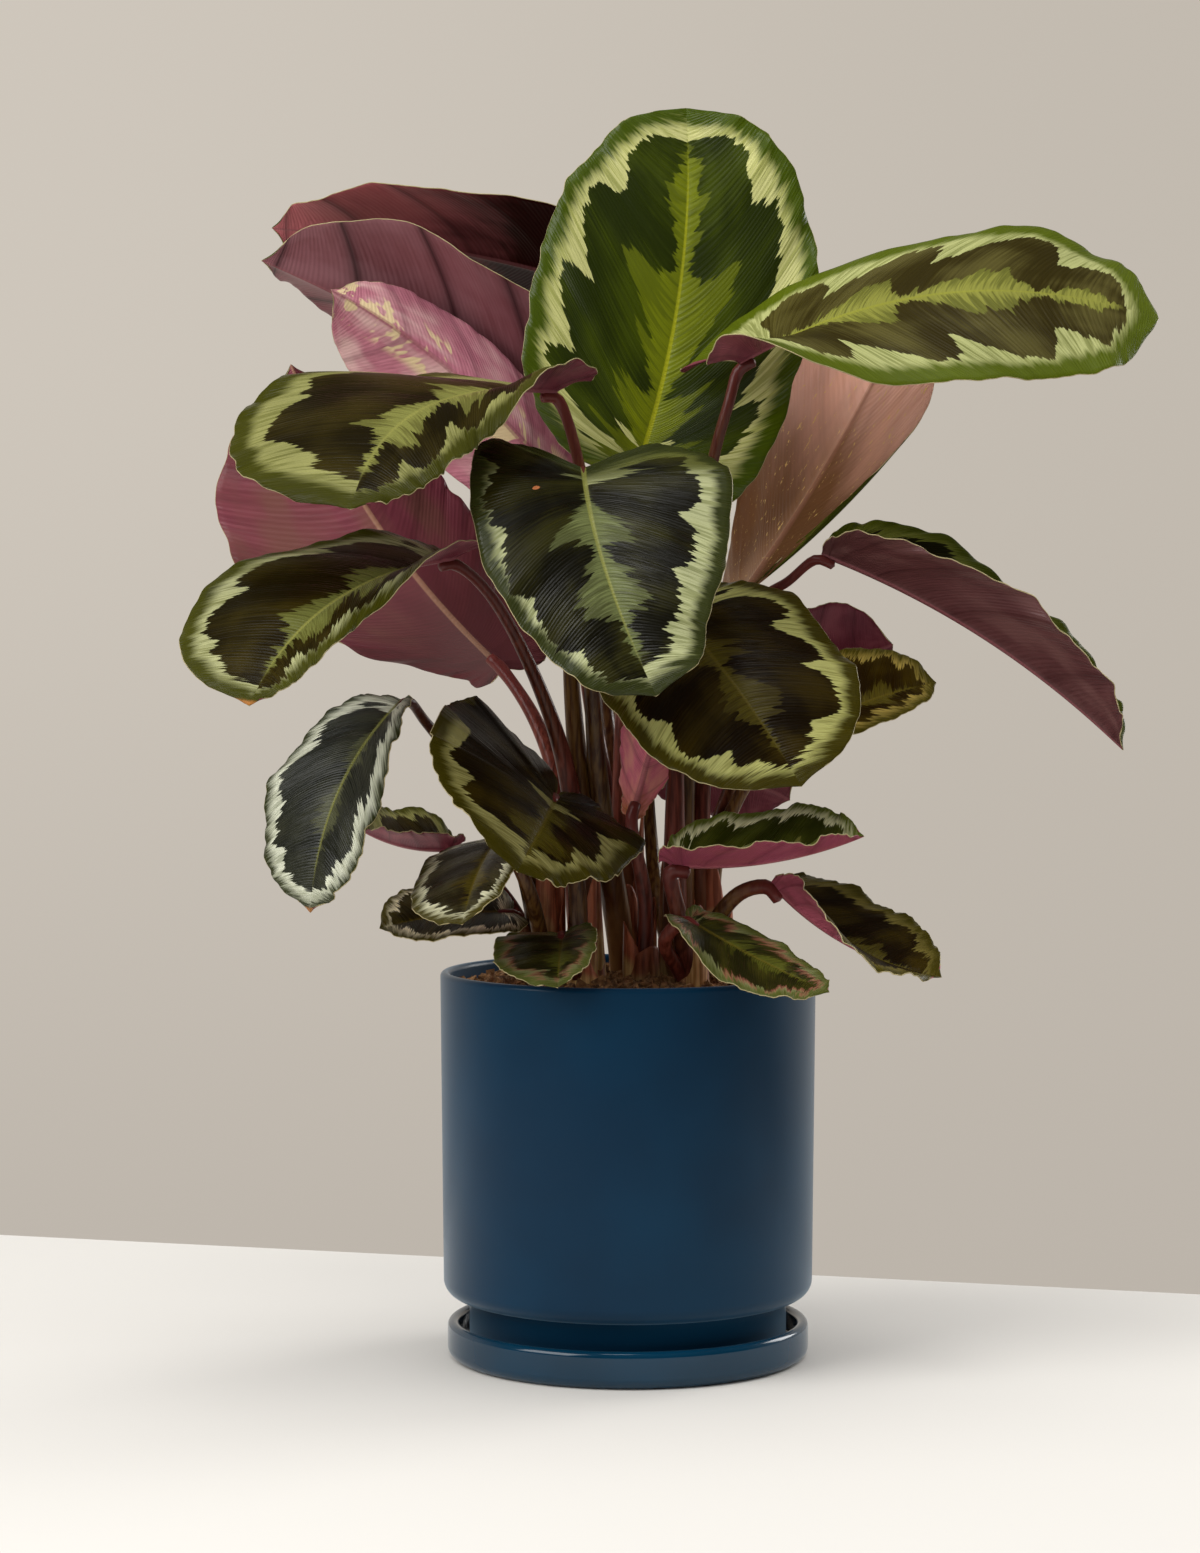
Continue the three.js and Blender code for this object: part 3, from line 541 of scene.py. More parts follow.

# %% [markdown]
# Every leaf is laid out one by one, because no two on a real plant are alike. Leaves could also be scattered at
# random, but then none would lie where it does on this plant. The numbers are those of the solids, so each fine
# leaf lies in the place of the coarse one. Four differ a little here, to follow the real margins more closely:
# the crown, low_front and unfurling in their width profile, and droop_high in the fold of its far half.
#
# All lengths are in millimetres and all angles in degrees. base and tip are the ends of the midrib, and face is
# the way that the upper side looks. bow bends the midrib to the left, and arch bends it towards the upper side.
# Pairs hold the left half and the right: half is its width, fold_base and fold_tip its fold about the midrib,
# lobe the share of the length that it reaches behind the base, and widest where it is broadest. A small full
# makes the outline fuller, point is the share drawn out at the tip, hood tells how far the fold of the base
# reaches, and a small sinus swells the lobes early. stalk holds the stalk's radius at its foot and at its end.

# %% Leaf table
LEAVES = {
    "crown": dict(
        base=[4, 35, 479], tip=[33, 78, 687], face=[0.05, -1, 0.1], bow=-10, arch=8, point=0.006,
        half=[81, 75], fold_base=[5, 5], fold_tip=[5, 5], lobe=[0.05, 0.12], full=0.84, widest=[0.43, 0.5],
        shoot="centre", stalk=[5.5, 3], path=[[-3, 18, 302], [-1, 24, 389]],
    ),
    "east_high": dict(
        base=[60, -15, 538], tip=[281, -35, 560], face=[0, -0.5, 0.87], bow=4, arch=26,
        half=[64, 68], fold_base=[0, 38], fold_tip=[4, -18], lobe=[0.24, 0.1], widest=[0.72, 0.52],
        full=0.5, hood=0.22, shoot="east_inner", stalk=[5.5, 3],
        path=[[29, -4, 276], [33, -5, 357], [39, -5, 433], [45, -10, 483], [54, -14, 517]],
    ),
    "east_back": dict(
        base=[55, 20, 405], tip=[165, 70, 588], face=[0.5, 0.8, 0.1], arch=12,
        half=[24, 64], fold_base=[30, 36], fold_tip=[5, 0], lobe=[0.02, 0.02], widest=[1.35, 0.8],
        full=1.15, hood=0.6, shoot="east_inner", stalk=[5, 2.8],
        path=[[28, 8, 275], [37, 12, 346]],
    ),
    "west_top": dict(
        base=[-15, 120, 591], tip=[-203, 120, 625], face=[0, 0.3, 0.95], arch=6,
        half=[54, 60], fold_base=[22, -14], fold_tip=[4, -14], widest=[0.46, 0.5], full=0.8, hood=0.8,
        shoot="centre", stalk=[5, 2.8], path=[[-4, 55, 300], [-6, 95, 412]],
    ),
    "west_second": dict(
        base=[-29, 87, 499], tip=[-205, 77, 602], face=[0.45, 0.5, 0.75], arch=8,
        half=[70, 60], fold_base=[20, 20], fold_tip=[20, 20],
        shoot="centre", stalk=[5, 2.8], path=[[-7, 45, 301], [-18, 70, 401]],
    ),
    "west_pink": dict(
        base=[-37, 47, 473], tip=[-163, 36, 582], face=[0.3, 0.9, 0.2], bow=8, arch=6,
        half=[33, 50], fold_base=[58, 10], fold_tip=[58, 10],
        shoot="centre", stalk=[5, 2.8], path=[[-12, 25, 302], [-26, 40, 389]],
    ),
    "west_broad": dict(
        base=[-39, -20, 522], tip=[-139, -160, 455], face=[0, -0.5, 0.87], bow=-24, arch=15,
        half=[42, 86], fold_base=[47, -14], fold_tip=[-10, -4], lobe=[0.13, 0.06], widest=[0.52, 0.6],
        full=0.72, hood=0.3, shoot="west_inner", stalk=[5.5, 3],
        path=[[-26, -10, 303], [-31, -12, 390], [-24, -16, 454], [-26, -20, 481]],
    ),
    "centre_front": dict(
        base=[-24, -60, 480], tip=[13, -150, 362], face=[0.1, -0.75, 0.65], bow=-8, arch=8,
        half=[67, 61], fold_base=[4, 4], fold_tip=[4, 4], lobe=[0.22, 0.2], full=0.74, widest=[0.2, 0.36],
        shoot="centre", stalk=[5.5, 3], path=[[-15, -10, 303], [-21, -30, 390]],
    ),
    "centre_right": dict(
        base=[21, -30, 407], tip=[88, -110, 315], face=[0.1, -0.8, 0.6], arch=8,
        half=[64, 68], fold_base=[0, 4], fold_tip=[0, 4], full=0.8,
        shoot="east_inner", stalk=[5, 2.8], path=[[25, -16, 276], [25, -18, 357]],
    ),
    "west_low": dict(
        base=[-92, -70, 432], tip=[-187, -190, 358], face=[0, -0.55, 0.83], bow=-15, arch=10,
        half=[25, 60], fold_base=[52, 0], fold_tip=[2, 0], lobe=[0.15, 0.03], widest=[0.5, 0.62],
        full=0.74, hood=0.3, shoot="west_inner", stalk=[5, 2.8],
        path=[[-31, -25, 309], [-47, -32, 363], [-73, -52, 413]],
    ),
    "west_hanging": dict(
        base=[-119, -60, 358], tip=[-165, -95, 249], face=[-0.6, -0.7, 0.25], arch=16,
        half=[32, 44], fold_base=[25, 6], fold_tip=[0, 6], lobe=[0.02, 0.05], widest=[0.6, 0.54],
        shoot="west", stalk=[4, 2.3], path=[[-58, -24, 272], [-89, -20, 320], [-108, -36, 346]],
    ),
    "low_front": dict(
        base=[-38, -70, 308], tip=[-57, -140, 273], face=[0.55, -0.4, 0.73], arch=4,
        half=[48, 74], fold_base=[4, 4], fold_tip=[4, 4], lobe=[0.34, 0.7], full=0.95,
        widest=[0.22, 0.42], sinus=0.35,
        shoot="west_front", stalk=[4, 2.5], path=[[-28, -45, 262]],
    ),
    "low_small": dict(
        base=[-68, -62, 286], tip=[-85, -135, 246], face=[-0.35, -0.5, 0.8], arch=5,
        half=[26, 37], fold_base=[10, 0], fold_tip=[10, 0], small=True,
        shoot="west", stalk=[3.5, 2], path=[[-53, -52, 258]],
    ),
    "low_edge": dict(
        base=[-93, -16, 277], tip=[-142, -36, 288], face=[0, 0, 1], arch=-4,
        half=[24, 38], fold_base=[30, 36], fold_tip=[20, 32], small=True,
        shoot="west", stalk=[3.2, 1.8], path=[[-65, 0, 248]],
    ),
    "low_west": dict(
        base=[-62, -30, 244], tip=[-132, -50, 237], face=[0, -0.4, 0.92], arch=3,
        half=[32, 32], small=True,
        shoot="west", stalk=[3.2, 1.8], path=[[-53, -25, 229]],
    ),
    "rim_west": dict(
        base=[-35, -62, 235], tip=[-37, -116, 212], face=[0, -0.46, 0.88], arch=3,
        half=[21, 35], fold_base=[25, 0], fold_tip=[25, 0], small=True,
        shoot="west_front", stalk=[3.2, 1.8], path=[[-32, -54, 223]],
    ),
    "low_east": dict(
        base=[23, -60, 271], tip=[122, -85, 288], face=[0, -0.2, 0.98], arch=-6,
        half=[38, 32], fold_base=[34, 32], fold_tip=[34, 32], widest=[0.5, 0.16],
        shoot="east_front", stalk=[4, 2.3], path=[[27, -50, 241]],
    ),
    "droop_east": dict(
        base=[76, -40, 260], tip=[163, -80, 214], face=[0.45, -0.15, 0.86], arch=-9,
        half=[41, 34], fold_base=[32, 44], fold_tip=[34, -10], lobe=[0.02, 0.02], hood=0.6,
        shoot="east", stalk=[4, 2.3], path=[[46, -28, 237], [60, -36, 255]],
    ),
    "rim_east": dict(
        base=[30, -62, 243], tip=[102, -118, 210], face=[0.1, -0.55, 0.83], arch=-2,
        half=[17, 28], fold_base=[5, 30], fold_tip=[5, 0], widest=[0.4, 0.5], small=True,
        shoot="east_front", stalk=[3.2, 2], path=[[19, -55, 231]],
    ),
    "shade": dict(
        base=[15, 48, 331], tip=[92, 78, 299], face=[0.2, 0.85, 0.4], arch=4, half=[35, 35], small=True,
        shoot="east_inner", stalk=[3.5, 2], path=[[14, 34, 268]],
    ),
    "unfurling": dict(
        base=[2, -32, 295], tip=[20, -32, 363], face=[0.1, 1, 0.1], arch=4,
        half=[20, 20], fold_base=[35, 35], fold_tip=[35, 35], lobe=[0.02, 0.02], small=True,
        widest=[0.95, 0.8], full=1.1, shoot="young", stalk=[3.5, 2], path=[[9, -24, 249]],
    ),
    "droop_high": dict(
        base=[104, -20, 435], tip=[260, -60, 332], face=[0.55, 0.1, 0.83], arch=10,
        half=[48, 40], fold_base=[70, 30], fold_tip=[44, 40], lobe=[0.03, 0.03], hood=0.4,
        shoot="east", stalk=[5, 2.5],
        path=[[39, 5, 275], [47, 8, 357], [72, 2, 411], [86, -8, 421]],
    ),
    "east_small": dict(
        base=[94, 15, 338], tip=[169, 20, 366], face=[-0.3, -0.7, 0.5], arch=6,
        half=[35, 20], fold_base=[6, 10], fold_tip=[6, 10], small=True,
        shoot="east", stalk=[4, 2], path=[[48, 15, 269], [67, 18, 313]],
    ),
    "east_purple": dict(
        base=[79, 50, 356], tip=[148, 55, 387], face=[0.2, 0.9, 0.3], arch=4, half=[38, 38], small=True,
        shoot="east", stalk=[4, 2], path=[[46, 20, 274], [61, 32, 319]],
    ),
    "west_magenta": dict(
        base=[-70, 45, 374], tip=[-190, 90, 545], face=[0.1, 1, 0.05], bow=-12, arch=4,
        half=[60, 76], fold_base=[48, 55], fold_tip=[48, 2], lobe=[0.12, 0], widest=[0.5, 0.75],
        full=0.95, hood=0.35, shoot="west_inner", stalk=[5.5, 3],
        path=[[-37, 10, 308], [-51, 25, 346]],
    ),
}
USUAL = dict(bow=0, fold_base=[6, 6], fold_tip=[6, 6], lobe=[0.12, 0.12], widest=[0.5, 0.5], full=0.85, hood=0.32,
             small=False, point=0.03, sinus=1)
SHOOTS = dict(west=[-43, -22], west_inner=[-21, -12], west_front=[-25, -35], centre=[0, 16], young=[7, -17],
              east_inner=[26, -2], east=[47, 8], east_front=[33, -36])
leaves = {name: {**USUAL, **given} for name, given in LEAVES.items()}
print("leaves:", len(leaves))

# %% [markdown]
# A prayer plant's leaf is a long oval. Its side veins leave the midrib close to the base, then bend towards
# the tip. It could be sculpted, or cut from a plane, but then its veins would have to be drawn on it. So the
# surface has two parameters that follow the veins: tau runs round the margin from base to tip, and s runs along
# one side vein from the midrib (0) to the margin (1). Rows of the mesh are veins, and pleats, stripes and the
# feathered pattern all follow them without any extra work.

# %% Leaf surface
THICK = 0.6
CAMBER, WAVE, SCALLOP, EVEN_ROWS = 0.06, 0.035, 0.018, 0.12
VEIN_BEND, SKEW, TIP_POWER = 1.35, 3.2, 60
WAVES, SMALL_WAVES, WAVE_LAG = 3.5, 2.5, 0.37
PLEATS, FLUTTER = 6.5, 1.4
RUFFLES = [(5.2, 1.0), (8.7, 0.75), (13.4, 0.5), (21.0, 0.32), (34.0, 0.18)]  # pitch and height of each sine
RUFFLE_SPAN = 1.6


def unit(v):
    """Vectors cut or stretched to length 1."""
    return v / np.linalg.norm(v, axis=-1, keepdims=True)


def blend(a, b, t):
    """From a to b by the share t: a + (b - a) t."""
    return a + (b - a) * t


def leaf_frame(leaf):
    """Chord from base to tip, the upper side squared to it, the left side, and the control point of the midrib,
    which lies off the chord's middle by twice the bow to the left and twice the arch upwards."""
    base, tip = np.array(leaf["base"], float), np.array(leaf["tip"], float)
    chord = unit(tip - base)
    face = np.array(leaf["face"], float)
    face = unit(face - face.dot(chord) * chord)
    left = np.cross(face, chord)
    control = (base + tip) / 2 + 2 * leaf["bow"] * left + 2 * leaf["arch"] * face
    return dict(base=base, tip=tip, chord=chord, face=face, left=left, control=control)


def waver(tau, seed):
    """A sum of sines of rising pitch and falling height, each with its own random start: about -1 to 1."""
    starts = np.random.default_rng(seed).random(len(RUFFLES)) * 2 * np.pi
    return sum(a * np.sin(2 * np.pi * f * tau + p) for (f, a), p in zip(RUFFLES, starts)) / RUFFLE_SPAN


def half_blade(leaf, frame, tau, s, half):
    """One half of a blade. The margin lies at the height (1 - cos pi tau) / 2 less a lobe behind the base, and
    at the width (sin pi tau) ^ full. A vein runs from the midrib to it as s ^ 1.35. The half is folded up
    about the midrib, bulges by s (1 - s), is pleated along its veins, and waves at the margin."""
    side = 1 if half == 0 else -1
    width = leaf["half"][half]
    waves = SMALL_WAVES if leaf["small"] else WAVES
    ripple = np.sin(2 * np.pi * (waves * tau + (0 if half == 0 else WAVE_LAG)))
    around = np.maximum(np.sin(np.pi * tau), 0)
    along = (1 - np.cos(np.pi * tau)) / 2
    behind = np.maximum(np.sin(2 * np.pi * tau), 0) ** leaf["sinus"]
    lobe = np.where(tau < 0.5, leaf["lobe"][half] * behind, 0)
    margin_at = (1 - leaf["point"]) * along + leaf["point"] * tau ** TIP_POWER - lobe
    skew = 1 + SKEW * (leaf["widest"][half] - 0.5) * (along - 0.5) * (1 - (2 * along - 1) ** 4)
    notch = leaf["ruffle"] * waver(tau, leaf["seed"] + half) * np.minimum(1, 3 * around)
    reach = around ** leaf["full"] * skew * (1 + SCALLOP * ripple) + notch / width * s ** 3
    rib_at = blend(along ** leaf["sweep"], tau, EVEN_ROWS)
    y = rib_at + (margin_at - rib_at) * s ** VEIN_BEND

    line = y[..., None]
    base, tip, control = frame["base"], frame["tip"], frame["control"]
    spine = (1 - line) ** 2 * base + 2 * line * (1 - line) * control + line ** 2 * tip
    ahead = unit((1 - line) * (control - base) + line * (tip - control))
    outward = side * frame["left"]
    turn = (ahead @ outward) / (1 + ahead @ frame["chord"])
    outward = outward - turn[..., None] * (ahead + frame["chord"])
    up = side * np.cross(ahead, outward)
    hooded = np.exp(-(np.maximum(y, 0) / leaf["hood"]) ** 2)
    fold = np.radians(blend(leaf["fold_tip"][half], leaf["fold_base"][half], hooded))[..., None]
    out = np.cos(fold) * outward + np.sin(fold) * up
    normal = np.cos(fold) * up - np.sin(fold) * outward
    camber = CAMBER * width * 2 * reach * s * (1 - s)
    wave = WAVE * width * s ** 2 * np.sqrt(around) * ripple
    crest = np.abs(np.sin(np.pi * PLEATS * tau)) ** 0.8 - 0.6
    pleat = leaf["pleat"] * crest * np.sqrt(around) * s ** 0.7 * (1.25 - 0.9 * s * s)
    flutter = FLUTTER * leaf["ruffle"] * waver(tau, leaf["seed"] + 5 + half) * np.minimum(1, 3 * around) * s ** 4
    lift = camber + wave + pleat + flutter
    points = spine + (reach * s * width)[..., None] * out + lift[..., None] * normal
    flat = np.stack([side * reach * s * width, y * np.linalg.norm(tip - base)], -1)
    return points, flat


# %% [markdown]
# A real leaf has two skins and a rim between them. The Solidify modifier could thicken the surface, but the
# midrib is sunk above and stands out below, so the two skins aren't alike. They are therefore set off from the
# middle surface here, each by its own distance, and a ring of points makes the rim round. Each vertex also keeps
# its tau, its share of the way to the margin, how far it lies from the margin and from the midrib, and how far
# along the leaf it is, for the finish.

# %% Leaf mesh
GROOVE, RIDGE, RIB_WIDTH = 0.35, 0.9, 1.6
GRID, SMALL_GRID, TOWARDS_RIB = (152, 26), (90, 18), 1.15
MARGIN_SAMPLES = 400


def leaf_mesh(leaf, frame):
    """Both halves on one grid, closed to single points at the base and the tip, then thickened: the upper
    face is raised half the thickness along the normals, the lower one sunk, and a round rim joins them."""
    rows, cols = SMALL_GRID if leaf["small"] else GRID
    tau = np.linspace(0, 1, rows + 1)[:, None]
    s = (np.arange(cols + 1) / cols) ** TOWARDS_RIB
    left, flat_left = half_blade(leaf, frame, tau, s[::-1] + 0 * tau, 0)
    right, flat_right = half_blade(leaf, frame, tau, s[1:] + 0 * tau, 1)
    grid, flat = np.concatenate([left, right], 1), np.concatenate([flat_left, flat_right], 1)
    share = np.concatenate([s[::-1], -s[1:]]) + 0 * tau
    across = 2 * cols
    number = 2 + (np.arange(rows + 1)[:, None] - 1) * (across + 1) + np.arange(across + 1)
    number[0], number[rows] = 0, 1
    inner = slice(1, rows)

    def gather(a):
        """The base, the tip, then the rows between them, in one list."""
        return np.concatenate([a[:1, cols], a[rows:, cols], a[inner].reshape(-1, *a.shape[2:])])

    middle, flat, share = gather(grid), gather(flat), gather(share)
    taus = gather(tau + 0 * np.arange(across + 1))

    faces = grid_faces(number)
    real = (faces[:, 0] != faces[:, 1]) & (faces[:, 1] != faces[:, 2]) & (faces[:, 0] != faces[:, 2])
    faces = faces[real]
    away = np.cross(middle[faces[:, 1]] - middle[faces[:, 0]], middle[faces[:, 2]] - middle[faces[:, 0]])
    # Points 0 and 1 are the base and the tip. The slivers that meet there don't steer the normals.
    away[faces.min(1) < 2] = 0
    normals = np.zeros_like(middle)
    for corner in range(3):
        np.add.at(normals, faces[:, corner], away)
    for end, (start, stop) in enumerate([("base", "control"), ("control", "tip")]):
        ahead = unit(frame[stop] - frame[start])
        normals[end] = frame["face"] - frame["face"].dot(ahead) * ahead
    normals = unit(normals)

    onward = flat[:, 1] / flat[1, 1]
    rib = np.exp(-(flat[:, 0] / RIB_WIDTH) ** 2) * (1 - np.clip(onward, 0, 1)) ** 0.5
    upper = middle + normals * (THICK / 2 - GROOVE * rib)[:, None]
    lower = middle - normals * (THICK / 2 + RIDGE * rib)[:, None]
    # rim runs once round the margin, and inside holds the point next to each, one column in.
    rim = np.concatenate([[0], number[inner, across], [1], number[inner, 0][::-1]])
    inside = np.concatenate([[number[2, cols]], number[inner, across - 1], [number[-3, cols]],
                             number[inner, 1][::-1]])
    edge_ring = middle[rim] + unit(middle[rim] - middle[inside]) * THICK / 2
    count = len(middle)
    ring = 2 * count + np.arange(len(rim))
    strips = np.concatenate([strip_faces(rim, ring), strip_faces(ring, rim + count)])
    points = np.concatenate([upper, lower, edge_ring])
    triangles = np.concatenate([faces, faces[:, ::-1] + count, strips])
    kind = np.repeat([0, 1, 2], [len(faces), len(faces), len(strips)])

    t = np.linspace(0, 1, MARGIN_SAMPLES)[:, None]
    margin = np.concatenate([half_blade(leaf, frame, t, 1 + 0 * t, h)[1][:, 0] for h in (0, 1)])
    edge = np.sqrt(((flat[:, None] - margin[None]) ** 2).sum(-1)).min(1)
    edge[rim] = 0
    per = dict(tau=taus, share=share, edge=edge, rib=np.abs(flat[:, 0]), ahead=onward)
    per = {key: np.concatenate([v, v, v[rim]]) for key, v in per.items()}
    return points, triangles, kind, per


# %% [markdown]
# The pattern is what makes this plant. From the margin inwards there is a green band, a pale ring whose inner
# edge is scalloped by the pleats, a dark zone, and a lighter flame that feathers out from the midrib along
# the side veins. It could be painted on each leaf, but a worked out pattern stays sharp from close by and fits
# every leaf. Each zone is a distance, either from the margin or from the midrib, pushed to and fro by noise that
# is stretched along the veins, and then cut sharp by a steep step.

# %% Pattern helpers
def centred(w, noise, amount):
    """Noise about 0 instead of about a half, in the unit of the amount."""
    return w.times(w.plus(noise, -0.5), amount)


def from_middle(w, value):
    """|2x - 1|: nothing where the value is a half, and 1 where it is 0 or 1."""
    return w.math("ABSOLUTE", w.plus(w.times(value, 2), -1))


def by_side(w, side, pair):
    """The pair's first number on the left half, where side is 1, and its second on the right, where it is -1."""
    first, second = pair
    return w.plus((first + second) / 2, w.times(side, (first - second) / 2))


def vein_noise(w, field, rate, out, detail, rough=0.5):
    """Noise drawn out along the side veins: it changes rate times as often from base to tip, and out times from
    the midrib to the margin. The field holds tau, the way out from the midrib, and a number for the half."""
    tau, reach, beside = field
    return w.noise(w.vector(w.times(tau, rate), w.times(reach, out), beside), detail=detail, rough=rough)


# %% Upper side of a leaf
HALF_APART = 40  # sets the noise of the two halves apart
UPPER_LINES, SCAR_RATE, SCAR_OUT = 900, 150, 30


def leaf_top(name, look, width, seed):
    """Upper side: band, ring, dark zone, flame and midrib, each a colour, with their edges in millimetres."""
    w = Wiring(name)
    tau, share, edge, rib, ahead = (w.attribute(k) for k in ("tau", "share", "edge", "rib", "ahead"))
    side = w.math("SIGN", share)
    field = (tau, w.math("ABSOLUTE", share), w.plus(w.times(side, HALF_APART), seed))
    hair = vein_noise(w, field, 220, 1.6, detail=2, rough=0.6)
    fine = vein_noise(w, field, 85, 1.1, detail=3, rough=0.6)
    medium = vein_noise(w, field, 30, 0.8, detail=2)
    large = vein_noise(w, field, 7, 2, detail=2)
    phase = w.math("FRACT", w.times(tau, PLEATS))
    off_crest = from_middle(w, phase)
    hump = w.minus(1, w.math("POWER", from_middle(w, w.math("POWER", phase, 1.5)), 2.5))
    band, inner, scallop = look["band_at"] * width, look["dark_at"] * width, look["scallop"] * width
    streak, tooth = look["streak"], look["tooth"]

    ring_at = w.plus(edge, centred(w, fine, streak * 6), centred(w, medium, streak * 4), centred(w, hair, streak * 3))
    threads = w.step(w.plus(fine, centred(w, hair, 0.8)), 0.42, 0.62)
    ring = w.mix(w.times(threads, 0.7), look["ring"], look["ring2"])
    beside_base = w.minus(1, w.step(ahead, 0.0, 0.17))
    if look["foot_ring"]:
        ring = w.mix(beside_base, ring, look["foot_ring"])
    colour = w.mix(w.step(ring_at, band - streak * 1.1, band + streak * 1.8), look["band"], ring)
    dark_at = w.plus(edge, w.times(hump, scallop), centred(w, fine, tooth * 5), centred(w, medium, tooth * 4),
                     centred(w, hair, tooth * 2))
    if look["dark_foot"]:
        dark_at = w.plus(dark_at, w.times(beside_base, look["dark_foot"] * inner))
    # The dark zone turns to its lighter tone by broad random tone, and along the pleat crests as painted light.
    tone_and_crest_light = w.step(w.plus(large, centred(w, off_crest, -0.25), centred(w, hair, 0.5)), 0.35, 0.75)
    dark = w.mix(w.times(tone_and_crest_light, 0.75), look["dark"], look["dark2"])
    from_edge = w.plus(dark_at, w.times(by_side(w, side, look["uneven"]), -inner))
    colour = w.mix(w.step(from_edge, -0.5, 0.5), colour, dark)
    start, full, fade, end = look["flame_run"]
    length = w.times(w.step(ahead, start, full), w.minus(1, w.step(ahead, fade, end)))
    varied = w.plus(0.45, w.times(w.step(medium, *NOISE_EDGE), 0.55))
    finger = w.plus(0.14, w.times(w.times(w.math("POWER", hump, 1.6), varied), 0.86))
    wide = w.times(w.times(length, finger), look["flame_wide"] * width)
    ragged = w.plus(centred(w, fine, tooth * 9), centred(w, hair, tooth * 3))
    flame_at = w.minus(w.plus(wide, ragged), rib)
    feather = w.step(w.plus(centred(w, hair, 1.4), centred(w, fine, 1.2), w.times(rib, 0.02)), 0.0, 0.3)
    flame = w.mix(w.times(feather, 0.6), look["flame"], look["flame2"])
    inside = w.times(w.step(flame_at, -0.5, 0.9), w.step(length, 0.02, 0.2))
    colour = w.mix(inside, colour, flame)
    line = w.plus(1.4, w.times(ahead, -1.2))
    shown = w.times(w.minus(1, w.step(ahead, 0.65, 0.98)), look["rib_shown"])
    colour = w.mix(w.times(w.step(w.minus(line, rib), -0.5, 0.4), shown), colour, look["rib"])
    if look["pink"]:
        beside_edge = w.minus(1, w.step(w.math("ABSOLUTE", from_edge), 0.8, 2.4))
        stain = w.times(beside_edge, w.step(large, 0.4, 0.5))
        colour = w.mix(w.times(stain, look["pink"]), colour, paint(132, 80, 66))
    if look["scar"]:
        scar_tau, scar_share = look["scar"]
        across, along = w.times(w.plus(tau, -scar_tau), SCAR_RATE), w.times(w.plus(share, -scar_share), SCAR_OUT)
        away = w.plus(w.times(across, across), w.times(along, along), centred(w, fine, 1.5))
        colour = w.mix(w.step(away, 0.8, 1.2), paint(176, 104, 60), colour)
    if look["tip"]:
        colour = w.mix(w.step(w.plus(ahead, centred(w, medium, 0.04)), 0.975, 0.99), colour, look["tip"])
    # Random tone, plus painted light and shade: the leaf's light number, and painted shade in the pleat valleys.
    shade = w.plus(look["light"], centred(w, large, 0.35), centred(w, hair, 0.35), w.times(off_crest, -0.1))
    w.set(Base_Color=w.lit(colour, shade), Roughness=w.plus(look["rough"], centred(w, fine, 0.25)))
    w.set(Specular_IOR_Level=look["shine"])
    lines = w.math("SINE", w.times(tau, UPPER_LINES))
    w.bump(w.plus(w.times(fine, 0.8), w.times(hair, 0.6), w.times(lines, 0.12)), 0.0007, 0.6)
    return w.material


# %% Underside and rim of a leaf
UNDER_LINES, UNDER_ROUGHER = 700, 0.05


def leaf_under(name, look, seed):
    """Underside: purple, streaked along the veins, with fine even lines and a paler midrib. The pleat valleys
    get painted shade, and the leaf's brightness is painted light.
    """
    w = Wiring(name)
    tau, share, rib, ahead = (w.attribute(k) for k in ("tau", "share", "rib", "ahead"))
    side = w.math("SIGN", share)
    field = (tau, w.math("ABSOLUTE", share), w.plus(w.times(side, HALF_APART), seed))
    fine = vein_noise(w, field, 120, 3, detail=3, rough=0.6)
    large = vein_noise(w, field, 7, 2.5, detail=2)
    valley = w.math("POWER", from_middle(w, w.math("FRACT", w.times(tau, PLEATS))), 7)
    colour = w.mix(w.times(w.step(fine, 0.3, 0.7), 0.6), look["under"], look["under2"])
    colour = w.mix(w.step(large, 0.4, 0.7), colour, look["under3"])
    # Painted shade in the valleys of the pleats.
    colour = w.mix(w.times(valley, look["crease_shade_strength"]), colour, look["crease_shade"])
    # Towards the base the colour turns to the foot colour. On west_top this is painted shadow that the crown casts.
    if look["foot"]:
        low = w.plus(ahead, centred(w, fine, 0.15), centred(w, large, 0.4))
        colour = w.mix(w.step(low, look["foot_until"] - 0.2, look["foot_until"] + 0.2), look["foot"], colour)
    if look["patch"]:
        blot = vein_noise(w, field, *look["patch_size"], detail=4, rough=0.7)
        near = w.minus(1, w.step(rib, look["patch_reach"] * 0.6, look["patch_reach"]))
        colour = w.mix(w.times(w.step(blot, look["patch_cut"], look["patch_cut"] + 0.03), near), colour,
                       look["patch"])
    line = w.plus(2.0, w.times(ahead, -1.3))
    colour = w.mix(w.times(w.step(w.minus(line, rib), -0.5, 0.5), 0.6), colour, look["under_vein"])
    # Painted light: the leaf's light number, and one half of the underside lit more than the other.
    shade = w.times(look["light"], by_side(w, side, look["sides"]))
    w.set(Base_Color=w.lit(colour, shade), Roughness=look["rough"] + UNDER_ROUGHER)
    w.set(Specular_IOR_Level=look["under_shine"])
    lines = w.math("SINE", w.times(tau, UNDER_LINES))
    w.bump(w.plus(w.times(fine, 0.5), w.times(lines, 0.25)), 0.0005, 0.4)
    return w.material


def leaf_rim():
    """The cut-thin margin: two pale tones mixed by fine noise, light enough to stand in also for the
    bright line that light draws along the edge.
    """
    w = Wiring("leaf_rim")
    w.set(Base_Color=w.mix(w.noise(w.place(), scale=300), paint(186, 170, 128), paint(132, 122, 74)),
          Roughness=0.5)
    return w.material
